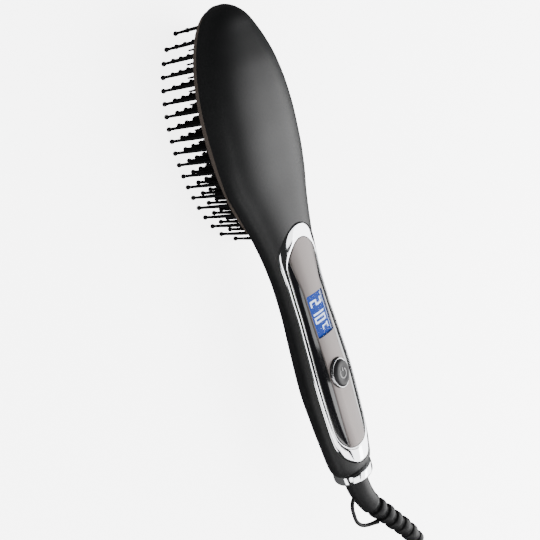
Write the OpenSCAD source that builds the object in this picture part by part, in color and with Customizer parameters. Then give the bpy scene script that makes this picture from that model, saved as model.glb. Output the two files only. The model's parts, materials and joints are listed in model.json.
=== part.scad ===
// Heated hair straightening brush: paddle head with bristles, display handle, swivel cord.
// Millimetres. +Y runs to the tip of the head, +Z is the back with the display, z = 0 at the bristle tips.

/* [Head] */
// Length from the tip of the head to the black end of the handle
body_len = 270; // [264:1:278]
// Full width of the head
head_w = 60.2; // [58:0.2:64]
// Distance from the tip to the widest place of the head
head_tip = 62; // [60:1:64]
// Height of the crown of the head over the bristle tips
head_crown_z = 47.9; // [46:0.1:49]
// Length over which the nose rounds off in side view
nose_len = 10; // [8:1:14]
// Wall of the shells
shell_t = 2; // [1.6:0.1:2.2]
// Length of the bristle side's oval frame
frame_len = 128.6; // [127:0.2:129]
// Distance from the edge of the head to the side of the oval frame
frame_inset = 0.8; // [0.7:0.1:2]
// Height of the oval frame
frame_h = 4; // [3.6:0.2:4.4]
// Wall of the oval frame
frame_t = 1.3; // [1:0.1:1.6]
// Width of the ledge in the frame, below the heating plate
ledge_w = 2; // [1.5:0.1:2.4]

/* [Handle] */
// Width of the neck
neck_w = 33.4; // [32.6:0.2:35]
// Distance from the tip to the narrowest place of the neck
neck_at = 155; // [152:1:158]
// Height of the neck's top line
neck_crown_z = 45.3; // [45:0.1:46.4]
// Height of the neck's underside
neck_under_z = 24.5; // [23.5:0.1:25]
// Width of the grip
grip_w = 37.8; // [37:0.2:40]
// Distance from the tip to the thickest place of the grip
grip_at = 212; // [209:1:215]
// Height of the grip's top line
grip_crown_z = 48.4; // [48:0.1:49.4]
// Height of the grip's underside
grip_under_z = 23; // [22:0.1:23.8]
// Width of the handle near its end
end_w = 30.8; // [30:0.2:33]
// Height of the top line near the end
end_crown_z = 49.7; // [49.3:0.1:50.6]
// Height of the underside near the end
end_under_z = 27; // [26:0.1:27.4]

/* [Bristles] */
// Height of the frame's lower face over the bristle tips
bristle_len = 26.5; // [26:0.1:27.4]
// Thickness of the bristle pad
pad_t = 2; // [1.6:0.1:2.2]
// Distance from the end of the oval frame to the outer bristles
field_end = 6; // [5.6:0.2:9]
// Distance from the side of the oval frame to the outer bristles
field_side = 2.5; // [2.4:0.1:4]
// Spacing of the bristle rows along the brush
row_pitch = 6.4; // [6.4:0.1:6.9]
// Spacing of the bristles across the brush
col_pitch = 6; // [5.6:0.1:6.6]
// Radius of a bristle at its root
root_r = 1.1; // [0.8:0.05:1.15]
// Radius of a bristle above its ball
strand_r = 0.8; // [0.5:0.05:0.85]
// Radius of the ball at a bristle's tip
ball_r = 1.35; // [1:0.05:1.4]
// Sideways lean of the outer bristles at their tips
splay = 1.8; // [0:0.2:2.2]
// Length of the heated teeth below the pad
tooth_len = 12; // [8:0.5:15]
// Spacing of the heated teeth
tooth_pitch = 3.8; // [3.5:0.1:3.9]
// Thickness of a comb of heated teeth
comb_t = 1.4; // [1:0.1:1.6]
// Distance between the outer bristles and the combs
comb_gap = 3; // [2.6:0.1:4]

/* [Display panel] */
// Distance from the tip to the top of the chrome ring's arch
ring_at = 116.5; // [115:0.5:118]
// Length of the chrome ring
ring_len = 147.4; // [145:0.2:148]
// Distance from the widest line of the handle to the chrome ring
ring_inset = 2; // [1.8:0.1:2.6]
// Width of the chrome ring at its sides
ring_w = 2.3; // [1.8:0.1:2.8]
// Width of the chrome arch at its top
arch_w = 8.1; // [6:0.1:10]
// Width of the chrome ring at its lower end
foot_w = 11.4; // [9:0.2:13]
// Height of the chrome ring over the handle's surface
ring_rise = 0.6; // [0.3:0.1:1]
// Depth of the recess that the ring and the panel lie in
recess_d = 2.6; // [2.4:0.1:2.8]
// Half width of the gunmetal strip
strip_hw = 7.7; // [7.5:0.1:8.4]
// Widening of the strip towards the arch
strip_flare = 3; // [0:0.2:3.4]
// Thickness of the strip in the panel
strip_t = 0.8; // [0.6:0.1:1]
// Height of the strip over the panel
strip_rise = 0.25; // [0.1:0.05:0.4]
// Distance from the tip to the middle of the display
lcd_at = 169.5; // [167:0.5:171]
// Length of the display window
lcd_len = 24.8; // [22:0.2:26]
// Width of the display window
lcd_w = 13.2; // [12:0.2:13.8]
// Depth of the window's seat in the panel
lens_t = 1.2; // [1:0.1:1.4]

/* [Power button] */
// Distance from the tip to the middle of the button
button_at = 206.2; // [203:0.2:209]
// Half width of the button
button_rx = 5.85; // [5:0.05:5.9]
// Half length of the button
button_ry = 7.8; // [7:0.1:8.2]
// Height of the button's crown over the panel
button_rise = 3; // [2.2:0.1:3.4]
// Height of the bright ring round the button over the panel
bezel_rise = 1.8; // [1:0.1:2]
// Width of the bright ring
bezel_w = 1; // [0.8:0.1:1.1]
// Travel of the button
button_travel = 0.8; // [0.5:0.1:1]

/* [Inside] */
// Height of the circuit board's lower face
pcb_z = 34; // [33.6:0.1:34.4]
// Thickness of the circuit board
pcb_t = 1.6; // [1.2:0.1:1.8]
// Length of the circuit board
pcb_len = 86; // [82:1:87]
// Width of the circuit board
pcb_w = 23; // [21:0.5:24]
// Thickness of the heating plate
plate_t = 2.4; // [1.8:0.1:2.6]
// Length of a heating element
heater_len = 70; // [64:1:74]
// Width of a heating element
heater_w = 9; // [7:0.5:9]
// Thickness of a heating element
heater_t = 2; // [1.5:0.1:2.2]
// Thickness of the insulating sheet
sheet_t = 0.8; // [0.5:0.1:1]
// Radius of a self-tapping screw
screw_r = 1.4; // [1.2:0.05:1.5]

/* [Cord end] */
// Length of the chrome collar
collar_len = 6.5; // [5.5:0.5:8]
// Half width of the collar
collar_rx = 13.2; // [12.8:0.1:13.4]
// Half height of the collar
collar_rz = 11.2; // [11:0.1:11.4]
// Height of the swivel's axis
axis_z = 38.3; // [38:0.1:38.6]
// Outer radius of the swivel's bush
bush_r = 7.4; // [7:0.1:7.6]
// Radius of the swivel's shaft
shaft_r = 4.6; // [4.2:0.1:4.8]
// Length of the shaft moulded into the strain relief
shaft_out = 6; // [5:0.5:7]
// Radius of the strain relief where it leaves the collar
boot_r = 7.2; // [6.8:0.1:7.6]
// Radius of the last rib of the strain relief
rib_r = 5.4; // [4.8:0.1:5.6]
// Spacing of the ribs
rib_pitch = 7.6; // [7.2:0.1:7.8]
// Thickness of the hanging loop
loop_d = 2.4; // [2:0.1:2.8]
// Diameter of the power cord
cord_d = 5.8; // [5.4:0.1:6]
// Radius of the innermost turn of the coiled cord
coil_r = 25; // [24:0.5:26]
// Turns of the coil in each of its four layers
coil_turns = 2; // [1.5:0.5:2]

/* [Fits] */
// Clearance round seated pieces
fit = 0.2; // [0.15:0.05:0.25]
// Clearance of the moving pieces
run = 0.3; // [0.25:0.05:0.35]

/* [Hidden] */
$fn = 48;

tip_y = (body_len + collar_len + shaft_out) / 2;
function at(s) = tip_y - s;
end_y = at(body_len);
swivel_y = end_y - collar_len;
wide_z = bristle_len + frame_h;
frame_w = head_w - 2 * frame_inset;
// Oval on which the outer bristles stand
field_len = frame_len - 2 * field_end;
field_w = frame_w - 2 * field_side;
nose_z = wide_z + 2.5;
oval_at = frame_len / 2 + 1.2;
pad_top = bristle_len + pad_t;
plate_z = wide_z - 0.1;
plate_top = plate_z + plate_t;
comb_z = bristle_len - 0.8;
heater_top = plate_top + heater_t;
sheet_z = heater_top + 0.1;
clamp_z = sheet_z + sheet_t + 0.1;
clamp_t = 1.2;
pcb_top = pcb_z + pcb_t;
pcb_at = 193;
// The heating plate's screws stand on bristle rows, between two combs, and keep to the oval frame's ends
screw_x = frame_w / 2 - 13.3;
screw_y = row_pitch * round((frame_len / 2 - 29.3) / row_pitch);
plate_screws = [for (y = [-screw_y, screw_y]) for (x = [screw_x, -screw_x]) [x, oval_at + y]];
clamp_screws = [oval_at - heater_len / 4, oval_at + heater_len / 4];
shell_screws = [143, 240.5];
board_posts = [[8, 160], [-8, 160], [8, 231], [-8, 231]];
ring_end = ring_at + ring_len;
skin_n = 18;

function seg(t, x, i = 0) = i >= len(t) - 2 || x < t[i + 1][0] ? i : seg(t, x, i + 1);
function slope(t, i) = (t[i + 1][1] - t[i][1]) / (t[i + 1][0] - t[i][0]);
function tang(t, i) = i == 0 ? slope(t, 0) : i == len(t) - 1 ? slope(t, i - 1)
  : let (a = slope(t, i - 1), b = slope(t, i)) a * b <= 0 ? 0 : 2 * a * b / (a + b);
// Smooth curve through [position, value] pairs
function curve(t, x) = let (i = seg(t, x), h = t[i + 1][0] - t[i][0], u = (x - t[i][0]) / h)
  (1 + 2 * u) * (1 - u) * (1 - u) * t[i][1] + u * u * (3 - 2 * u) * t[i + 1][1]
  + h * u * (1 - u) * ((1 - u) * tang(t, i) - u * tang(t, i + 1));
function clamp(v) = max(0, min(1, v));
function ease(v) = let (t = clamp(v)) t * t * (3 - 2 * t);
function smin(a, b) = pow(pow(a, -8) + pow(b, -8), -1 / 8);
function se(v, n) = (v < 0 ? -1 : 1) * pow(abs(v), 2 / n);
function unit(v) = v / norm(v);

// Half width of the housing from the widest place of the head to the end
half_pts = [[head_tip, head_w / 2], [head_tip + 13, head_w / 2 - 0.1], [head_tip + 28, head_w / 2 - 1.6],
  [head_tip + 43, head_w / 2 - 5.8], [head_tip + 58, head_w / 2 - 9.6], [neck_at - 19, neck_w / 2 + 1.1],
  [neck_at - 4, neck_w / 2], [neck_at + 10, neck_w / 2], [grip_at - 27, grip_w / 2 - 1.2],
  [grip_at, grip_w / 2],
  [grip_at + 23, grip_w / 2 - 0.6], [body_len - 15, end_w / 2 + 1.2], [body_len - 6, end_w / 2],
  [body_len - 2, end_w / 2 - 0.9], [body_len, end_w / 2 - 2]];
// Height of the top line
crown_pts = [[0, head_crown_z - 5], [12, head_crown_z - 3.6], [20, head_crown_z - 2.2],
  [32, head_crown_z - 0.5],
  [46, head_crown_z], [60, head_crown_z - 0.2], [76, head_crown_z - 1.3], [96, neck_crown_z + 0.1],
  [neck_at - 15, neck_crown_z - 0.1], [neck_at, neck_crown_z], [neck_at + 16, neck_crown_z + 0.6],
  [grip_at - 20, grip_crown_z - 1.2], [grip_at, grip_crown_z], [grip_at + 24, end_crown_z - 0.8],
  [body_len - 16, end_crown_z - 0.1], [body_len - 7, end_crown_z], [body_len - 2.5, end_crown_z - 0.8],
  [body_len, end_crown_z - 2.4]];
// Height of the underside
under_pts = [[83, wide_z - 1.5], [88, bristle_len - 0.6], [94, bristle_len - 1.9], [105, neck_under_z - 0.5],
  [120, neck_under_z - 1], [neck_at - 20, neck_under_z - 0.4], [neck_at, neck_under_z],
  [grip_at - 24, grip_under_z + 0.4], [grip_at, grip_under_z], [grip_at + 24, end_under_z - 1.8],
  [body_len - 18, end_under_z - 0.5], [body_len - 6, end_under_z], [body_len - 2, end_under_z + 0.8],
  [body_len, end_under_z + 1.8]];
// Height of the widest line, where the two shells meet
wide_pts = [[0, wide_z], [83, wide_z], [105, wide_z + 1], [120, wide_z + 2.8], [neck_at - 20, axis_z - 3.6],
  [neck_at - 5, axis_z - 2.3], [neck_at + 10, axis_z - 1.3], [grip_at - 27, axis_z - 0.4], [grip_at, axis_z],
  [body_len, axis_z]];
// Roundness of the top: 2 is an ellipse, more is flatter
round_pts = [[0, 2.2], [30, 2.5], [80, 2.6], [110, 2.4], [neck_at - 15, 2.1], [neck_at, 2], [body_len, 2]];
// Distance from the top surface to the cavity: the deck under the display panel is thicker
deck_pts = [[0, shell_t], [ring_at - 14, shell_t], [ring_at - 4, recess_d + shell_t + 0.4],
  [body_len, recess_d + shell_t + 0.4]];

function half_w(s, d = 0) = s < head_tip
  ? (head_w / 2 - d) * sqrt(max(0, 1 - pow((head_tip - s) / (head_tip - d), 2))) : curve(half_pts, s) - d;
function wide(s) = curve(wide_pts, s);
function crown(s, d = 0) = let (q = clamp((s - d) / nose_len), f = sqrt(1 - (1 - q) * (1 - q)))
  nose_z + (curve(crown_pts, s) - nose_z) * f;
function under(s) = curve(under_pts, s);
// Height of the housing's top and bottom surface
function top(x, s) = let (n = curve(round_pts, s), w = wide(s))
  w + (crown(s) - w) * pow(max(0, 1 - pow(abs(x) / half_w(s), n)), 1 / n);
function low(x, s) = let (w = wide(s))
  w - (w - under(s)) * pow(max(0, 1 - pow(abs(x) / half_w(s), 2.2)), 1 / 2.2);

// Stations along the housing, close together where it rounds off
nose_s = [0.08, 0.5, 1.4, 3, 5.5, 9, 14, 21, 31, 43, 56, 69, 83];
lip_s = [90, 97, 105, 113];
back_s = [122, 131, 140, 150, 163, 177, 192, 207, 222, 236, body_len - 22, body_len - 14, body_len - 7,
  body_len - 3.5, body_len - 1.5, body_len - 0.4, body_len];
hollow_s = [shell_t + 0.4, 4, 7, 12, 20, 32, 46, 60, 74, 88, ring_at - 16, ring_at - 10, ring_at - 4];
handle_s = [134, 148, 163, 180, 200, 220, 238, body_len - 15, body_len - 8, body_len - 4];

function arc_up(s, n, d = 0, inset = 0) = let (a = half_w(s, d), w = wide(s), h = crown(s, d) - inset - w,
  m = curve(round_pts, s))
  [for (i = [0:n]) let (t = 180 * i / n) [a * se(cos(t), m), at(s), w + h * se(sin(t), m)]];
function arc_down(s, n, d = 0) = let (a = half_w(s, d), w = wide(s), h = w - under(s) - d)
  [for (i = [0:n]) let (t = 180 * i / n) [-a * se(cos(t), 2.2), at(s), w - h * se(sin(t), 2.2)]];

// Solid through closed rings of points, each wound to the right about the direction of travel
module loft(r) {
  n = len(r[0]);
  m = len(r);
  polyhedron(points = [for (q = r) each q], faces = concat([[for (j = [0:n - 1]) j]],
    [for (i = [0:m - 2]) for (j = [0:n - 1]) let (k = (j + 1) % n, a = i * n + j, b = i * n + k)
      each [[a, a + n, b + n], [a, b + n, b]]], [[for (j = [n - 1:-1:0]) (m - 1) * n + j]]));
}
// Tube along points: r is one radius or a list with one radius a point
function along(p, i) = unit(p[min(i + 1, len(p) - 1)] - p[max(i - 1, 0)]);
function hoop(c, t, r, n) = let (u = unit(cross([0, 0, 1], t)), v = cross(t, u))
  [for (k = [0:n - 1]) c + r * (cos(360 * k / n) * u + sin(360 * k / n) * v)];
module tube(p, r, n = 8) {
  loft([for (i = [0:len(p) - 1]) hoop(p[i], along(p, i), is_list(r) ? r[i] : r, n)]);
}
// Extra points between the points of a path
function knot(p, i) = p[max(0, min(len(p) - 1, i))];
function smooth(p, m) = concat([for (i = [0:len(p) - 2]) for (k = [0:m - 1])
  let (t = k / m, a = knot(p, i - 1),
  b = p[i], c = p[i + 1], d = knot(p, i + 2)) 0.5 * (2 * b + (c - a) * t + (2 * a - 5 * b + 4 * c - d) * t * t
  + (3 * b - a - 3 * c + d) * t * t * t)], [p[len(p) - 1]]);
// Merges faceted solids into one mesh
module mesh() { resize([0, 0, 0]) children(); }
// Cylinder along the brush between two distances from the tip
module rod(s0, s1, r) { translate([0, at(s0), axis_z]) rotate([90, 0, 0]) cylinder(h = s1 - s0, r = r); }
module pipe(s0, s1, r, bore) {
  translate([0, at(s0), axis_z]) rotate([90, 0, 0]) difference() {
    cylinder(h = s1 - s0, r = r);
    translate([0, 0, -1]) cylinder(h = s1 - s0 + 2, r = bore);
  }
}
module box(x, s0, s1, z0, z1) { translate([-x, at(s1), z0]) cube([2 * x, s1 - s0, z1 - z0]); }
// Oval prism centred on the bristle side
module oval(dl, z0, z1) {
  translate([0, at(oval_at), z0]) scale([(frame_w / 2 - dl) / (frame_len / 2 - dl), 1, 1])
    cylinder(h = z1 - z0, r = frame_len / 2 - dl);
}
// Oval prism centred on the button
module button_oval(grow, z0, z1) {
  translate([0, at(button_at), z0]) scale([(button_rx + grow) / (button_ry + grow), 1, 1])
    cylinder(h = z1 - z0, r = button_ry + grow);
}

// Slice of the handle between two offsets of its top surface
skin_u = [1, 0.9, 0.7, 0.4, 0, -0.4, -0.7, -0.9, -1];
function skin_s(i) = ring_at - 3 + (ring_len + 8) * i / skin_n;
module skin(hi, lo, s0 = 0, s1 = 999) {
  loft([for (i = [0:skin_n]) if (skin_s(i + 1) > s0 && skin_s(i - 1) < s1)
    let (s = skin_s(i), a = half_w(s) - 0.9)
    concat([for (u = skin_u) [u * a, at(s), top(u * a, s) + hi]],
      [for (k = [len(skin_u) - 1:-1:0]) [skin_u[k] * a, at(s), top(skin_u[k] * a, s) + lo]])]);
}
function arch(s, from, k) = sqrt(max(0.0001, (s - from) / k));
// Rounds an outline off over its last l mm
function taper(s, to, l, p) = s < to - l ? 1
  : pow(max(0.000001, 1 - pow(min(1, (s - to + l) / l), p)), 1 / p);
ring_in0 = ring_at + arch_w;
ring_in1 = ring_end - foot_w;
function ring_x(s) = smin(arch(s, ring_at, 0.046), half_w(s) - ring_inset) * taper(s, ring_end, 18.5, 2.2);
function inner_x(s) = smin(arch(s, ring_in0, 0.068), half_w(s) - ring_inset - ring_w)
  * taper(s, ring_in1, 17.2, 2.8);
function strip_x(s) = strip_hw + strip_flare * ease((lcd_at - 13 - s) / 24);
function spread(a, b) = let (l = b - a) concat([a, a + 0.15, a + 0.8, a + 2.4, a + 5.5, a + 10],
  [for (i = [0:7]) a + 16 + (l - 32) * i / 7], [b - 10, b - 5, b - 2, b - 0.6, b - 0.1, b]);
function ends(s, a, b) = max(a, min(b, s));
module outline(a, b, grow, q) {
  h = [for (p = q) if (p[0] + grow > 0.05) [p[0] + grow, at(p[1] <= a ? a - grow : p[1] >= b ? b + grow
    : ends(p[1], a - grow, b + grow))]];
  translate([0, 0, 30]) linear_extrude(30)
    polygon(concat(h, [for (i = [len(h) - 1:-1:0]) [-h[i][0], h[i][1]]]));
}
module ring_prism(grow = 0) {
  outline(ring_at, ring_end, grow, [for (s = spread(ring_at, ring_end)) [ring_x(s), s]]);
}
module inner_prism(grow = 0) {
  outline(ring_in0, ring_in1, grow, [for (s = spread(ring_in0, ring_in1)) [inner_x(s), s]]);
}
module strip_prism(grow = 0) {
  outline(0, body_len, grow,
    [for (d = [-2, 1, 4, 7, 10, 13, 16, 19, 22, 25, 28, 31, 34, ring_in1 - ring_in0 + 4])
    [strip_x(ring_in0 + d), ring_in0 + d]]);
}
module lcd_prism(grow = 0)
  box(lcd_w / 2 + grow, lcd_at - lcd_len / 2 - grow, lcd_at + lcd_len / 2 + grow, 30, 60);

module back_shell() {
  color("#222326") mesh() difference() {
    union() {
      difference() {
        loft([for (s = concat(nose_s, lip_s, back_s)) arc_up(s, 18)]);
        loft([for (s = concat(hollow_s, handle_s)) let (a = half_w(s, shell_t))
          concat([[a, at(s), wide(s) - 1]],
          arc_up(s, 12, shell_t, curve(deck_pts, s)), [[-a, at(s), wide(s) - 1]])]);
      }
      for (p = plate_screws) translate([p.x, at(p.y), plate_top + 0.1])
        cylinder(h = top(p.x, p.y) - 2 - plate_top, r = 2.8, $fn = 12);
      for (s = shell_screws) translate([0, at(s), 30.2])
        cylinder(h = crown(s) - recess_d - 1 - 30.2, r = 3.2, $fn = 12);
    }
    intersection() {
      skin(9, -recess_d);
      ring_prism(fit);
    }
    box(lcd_w / 2 + 1.6, lcd_at - lcd_len / 2 - 2, lcd_at + lcd_len / 2 + 2, 36, 60);
    button_oval(2.4, 36, 60);
    rod(243, body_len + 1, bush_r + fit);
    rod(body_len - 5.7, body_len - 4, bush_r + 1.5);
    for (p = plate_screws) translate([p.x, at(p.y), 30]) cylinder(h = 9, r = screw_r - 0.1, $fn = 12);
    for (s = shell_screws) translate([0, at(s), 28]) cylinder(h = 11, r = screw_r + 0.1, $fn = 12);
  }
}

module front_shell() {
  color("#1c1c1f") mesh() difference() {
    union() {
      difference() {
        loft([for (s = concat([83], lip_s, back_s)) arc_down(s, 16)]);
        loft([for (s = concat([133.5], handle_s)) let (a = half_w(s, shell_t))
          concat([[-a, at(s), wide(s) + 1]],
          arc_down(s, 12, shell_t), [[a, at(s), wide(s) + 1]])]);
        oval(-fit, 20, 40);
      }
      for (p = board_posts) translate([p.x, at(p.y), low(p.x, p.y) + 1])
        cylinder(h = pcb_z - low(p.x, p.y) - 1, r = 2.4, $fn = 12);
      for (s = shell_screws) translate([0, at(s), under(s) + 1])
        cylinder(h = 29 - under(s), r = 3.8, $fn = 12);
      box(4, 247.5, 254.5, under(251) + 1, 29.1);
    }
    rod(243, body_len + 1, bush_r + fit);
    rod(body_len - 5.7, body_len - 4, bush_r + 1.5);
    for (s = shell_screws) translate([0, at(s), 15]) {
      cylinder(h = 20, r = screw_r + 0.2, $fn = 12);
      cylinder(h = under(s) + 2.5 - 15, r = 3, $fn = 12);
    }
    for (p = board_posts) translate([p.x, at(p.y), 29]) cylinder(h = 9, r = 0.9, $fn = 12);
  }
}

module head_frame() {
  color("#4a423e") difference() {
    oval(0, bristle_len, wide_z);
    oval(frame_t + ledge_w, bristle_len - 1, wide_z + 1);
    oval(frame_t, bristle_len - 1, pad_top + fit);
    oval(frame_t, plate_z, wide_z + 1);
  }
}

// Bristles stand in rows across the brush, and the ends of the rows lie on an oval
rows = floor((field_len / 2 - 0.5) / row_pitch);
function span(y, gap) = (field_w / 2 - gap) * sqrt(max(0, 1 - pow(y / (field_len / 2 - gap), 2)));
function line(half, pitch) = let (n = floor(2 * half / pitch)) [for (i = [0:n]) (i - n / 2) * pitch];
function row(half) = let (n = max(1, round(2 * half / col_pitch))) [for (i = [0:n]) (2 * i / n - 1) * half];
row_pts = [for (j = [-rows:rows]) let (y = j * row_pitch) for (x = row(span(y, 0))) [x, y]];
comb_y = [for (j = [-rows:rows - 1]) (j + 0.5) * row_pitch];
echo(strands = len(row_pts) + len([for (y = comb_y) for (x = line(span(y, comb_gap), tooth_pitch)) x]));

// Strand from root to tip: rings are [height, radius, sideways shift]
module strand(p, lean, rings, n) {
  loft([for (q = rings) [for (k = [0:n - 1]) [p.x + lean.x * q[2] + q[1] * cos(360 * k / n + 90),
    at(oval_at) + p.y + lean.y * q[2] - q[1] * sin(360 * k / n + 90), q[0]]]]);
}
module bristle(p, lean) {
  strand(p, lean, [[bristle_len + 0.6, root_r, 0], [bristle_len, root_r, 0], [2.1, strand_r, splay * 0.92],
    [0, ball_r, splay]], 3);
}

module bristle_pad() {
  color("#17171a") mesh() union() {
    difference() {
      oval(frame_t + fit, bristle_len, pad_top, $fn = 44);
      for (y = comb_y) let (h = span(y, comb_gap) + 1 + fit)
        translate([-h, at(oval_at) + y - comb_t / 2 - fit, 0])
        cube([2 * h, comb_t + 2 * fit, 60]);
    }
    for (p = row_pts) bristle(p, [abs(p.x) < span(p.y, 0.1) ? 0 : 2 * p.x / field_w, 0]);
  }
}

module heat_plate() {
  color("#8d8f92") mesh() difference() {
    union() {
      oval(frame_t + 0.9, plate_z, plate_top, $fn = 44);
      for (y = comb_y) let (h = span(y, comb_gap) + 1) {
        translate([-h, at(oval_at) + y - comb_t / 2, comb_z]) cube([2 * h, comb_t, plate_z + 0.2 - comb_z]);
        for (x = line(span(y, comb_gap), tooth_pitch)) strand([x, y], [0, 0], [[comb_z + 0.5, 0.68, 0],
          [comb_z, 0.68, 0], [bristle_len - tooth_len, 0.4, 0]], 3);
      }
    }
    for (p = plate_screws) translate([p.x, at(p.y), 20]) {
      cylinder(h = 30, r = screw_r - 0.1, $fn = 16);
      cylinder(h = plate_z - 20, r = 2.3, $fn = 16);
    }
    for (s = clamp_screws) translate([0, at(s), plate_z + 0.6]) cylinder(h = 9, r = 1.05, $fn = 16);
  }
}

module heating_element(x) {
  color("#e8e4dc") translate([x - heater_w / 2, at(oval_at) - heater_len / 2, plate_top])
    cube([heater_w, heater_len, heater_t]);
}
heater_x = heater_w / 2 + 2;
module heating_element_a() heating_element(heater_x);
module heating_element_b() heating_element(-heater_x);

module insulation_sheet() {
  color("#d9cfa8") difference() {
    box(heater_w + 3.4, oval_at - heater_len / 2 - 2, oval_at + heater_len / 2 + 2,
      sheet_z, sheet_z + sheet_t);
    for (s = clamp_screws) translate([0, at(s), 20]) cylinder(h = 30, r = 1.6);
  }
}

module heater_clamp() {
  color("#b9bcc0") difference() {
    box(heater_w + 2, oval_at - 26, oval_at + 26, clamp_z, clamp_z + clamp_t);
    for (s = clamp_screws) translate([0, at(s), 20]) cylinder(h = 30, r = 1.2);
    for (x = [-6, 6]) translate([x, at(oval_at), 20]) cylinder(h = 30, r = 3);
  }
}

module clamp_screw(s) {
  color("#a5a8ab") translate([0, at(s), 0]) {
    difference() {
      translate([0, 0, clamp_z + clamp_t]) cylinder(h = 1.4, r = 2);
      translate([-1.5, -0.25, clamp_z + clamp_t + 0.7]) cube([3, 0.5, 2]);
    }
    translate([0, 0, plate_z + 0.8]) cylinder(h = clamp_z + clamp_t - plate_z - 0.6, r = 1);
  }
}
module clamp_screw_a() clamp_screw(clamp_screws[0]);
module clamp_screw_b() clamp_screw(clamp_screws[1]);

module temp_sensor() {
  color("#c9542d") translate([0, at(oval_at) - 3, plate_top + 0.95]) rotate([90, 0, 0])
    cylinder(h = 8, r = 0.95);
}

module thermal_fuse() {
  color("#dcdcd6") translate([-5.5, at(111), plate_top + 1.6]) rotate([0, 90, 0]) {
    cylinder(h = 11, r = 1.6);
    translate([0, 0, -3]) cylinder(h = 17, r = 0.5);
  }
}

module plate_screw(p) {
  color("#a5a8ab") translate([p.x, at(p.y), 0]) {
    difference() {
      translate([0, 0, plate_z - 1.5]) cylinder(h = 1.5, r = 2.1);
      translate([-1.5, -0.25, plate_z - 1.6]) cube([3, 0.5, 0.7]);
    }
    translate([0, 0, plate_z - 0.2]) cylinder(h = 7.7, r = screw_r - 0.2);
  }
}
module plate_screw_1() plate_screw(plate_screws[0]);
module plate_screw_2() plate_screw(plate_screws[1]);
module plate_screw_3() plate_screw(plate_screws[2]);
module plate_screw_4() plate_screw(plate_screws[3]);

heater_end = oval_at + heater_len / 2;
heater_route = [[6.5, heater_end, plate_top + 1], [6.5, heater_end + 3, plate_top + 1],
  [6.5, heater_end + 7.5, plate_top + 2.2], [6.5, heater_end + 12, 36.6], [6.5, 124, 36.9], [6.6, 136, 37],
  [6.6, 146, 37.2], [6.6, 152, 36.6], [6.6, 154, 36.5]];
module heater_leads() {
  color("#b3202a") mesh() for (m = [1, -1])
    tube(smooth([for (p = heater_route) [m * p.x, at(p.y), p.z]], 1), 0.9, 6);
}

module chrome_ring() {
  color("#c8ccd0") mesh() difference() {
    intersection() {
      skin(ring_rise, -recess_d);
      ring_prism();
    }
    inner_prism();
  }
}

module panel() {
  color("#0b0b0d") mesh() difference() {
    intersection() {
      skin(0, -recess_d);
      inner_prism(-fit);
    }
    intersection() {
      skin(9, -strip_t);
      strip_prism(fit);
    }
    intersection() {
      skin(9, -lens_t, lcd_at - lcd_len, lcd_at + lcd_len);
      lcd_prism(fit);
    }
    lcd_prism(-1);
    button_oval(run, 30, 60);
  }
}

module inlay_strip() {
  color("#5c5f63") mesh() difference() {
    intersection() {
      skin(strip_rise, -strip_t);
      strip_prism();
      inner_prism(-fit);
    }
    lcd_prism(fit);
    button_oval(run + bezel_w + fit, 30, 60);
  }
}

module lcd_lens() {
  color("#1d3fae") mesh() intersection() {
    skin(strip_rise, -lens_t, lcd_at - lcd_len, lcd_at + lcd_len);
    lcd_prism();
  }
}

module lcd_module() {
  color("#26384f") {
    box(lcd_w / 2 + 0.9, lcd_at - lcd_len / 2 - 0.6, lcd_at + lcd_len / 2 + 0.6, pcb_top, 40.6);
    box(lcd_w / 2 - 1.3, lcd_at - lcd_len / 2 + 1.3, lcd_at + lcd_len / 2 - 1.3, 40.5, 42.8);
  }
}

module main_pcb() {
  color("#1f6b43") difference() {
    box(pcb_w / 2, pcb_at - pcb_len / 2, pcb_at + pcb_len / 2, pcb_z, pcb_top);
    for (p = board_posts) translate([p.x, at(p.y), 30]) cylinder(h = 9, r = 1.2);
  }
}

module mcu_chip() { color("#1a1a1c") box(3.5, 187, 194, pcb_top, pcb_top + 1.4); }

module triac() {
  color("#242427") {
    translate([3, at(228), pcb_top]) cube([6, 9, 3.4]);
    translate([3, at(219) - 0.2, pcb_top]) cube([6, 4, 1]);
  }
}

module film_capacitor() { color("#c9a227") translate([-6, at(203), pcb_z - 7]) cube([12, 14, 7]); }

module terminal_block() {
  color("#2f7d4f") difference() {
    translate([-9.5, at(228), pcb_top]) cube([10, 8, 5.4]);
    for (x = [-7, -2]) translate([x, at(224), pcb_top + 3]) cylinder(h = 5, r = 1.4);
  }
}

module tact_switch() {
  color("#2a2a2d") translate([0, at(button_at), pcb_top]) {
    translate([-2.3, -2.3, 0]) cube([4.6, 4.6, 2.6]);
    translate([0, 0, 2.5]) cylinder(h = 1, r = 1.2);
  }
}
switch_top = pcb_top + 3.5;

module button_bezel() {
  color("#c8ccd0") mesh() difference() {
    intersection() {
      skin(bezel_rise, -strip_t, button_at - 14, button_at + 14);
      button_oval(run + bezel_w, 30, 60, $fn = 28);
    }
    button_oval(run, 30, 60, $fn = 28);
  }
}

button_z = crown(button_at);
cap_z = button_z - recess_d - 3.4;
cap_top = button_z + button_rise;
module button_cap() {
  color("#3a3c40") {
    button_oval(1.1, cap_z, cap_z + 1.2);
    button_oval(0, cap_z, cap_top - 0.6);
    button_oval(-0.9, cap_top - 0.7, cap_top);
    translate([0, at(button_at), switch_top + button_travel + 0.05])
      cylinder(h = cap_z - switch_top - button_travel, r = 2);
  }
}

module return_sleeve() {
  color("#d8d3c8") translate([0, at(button_at), pcb_top]) difference() {
    cylinder(h = cap_z - pcb_top, r = 4.4);
    translate([0, 0, -1]) cylinder(h = cap_z - pcb_top + 2, r = 3.7);
  }
}

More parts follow.
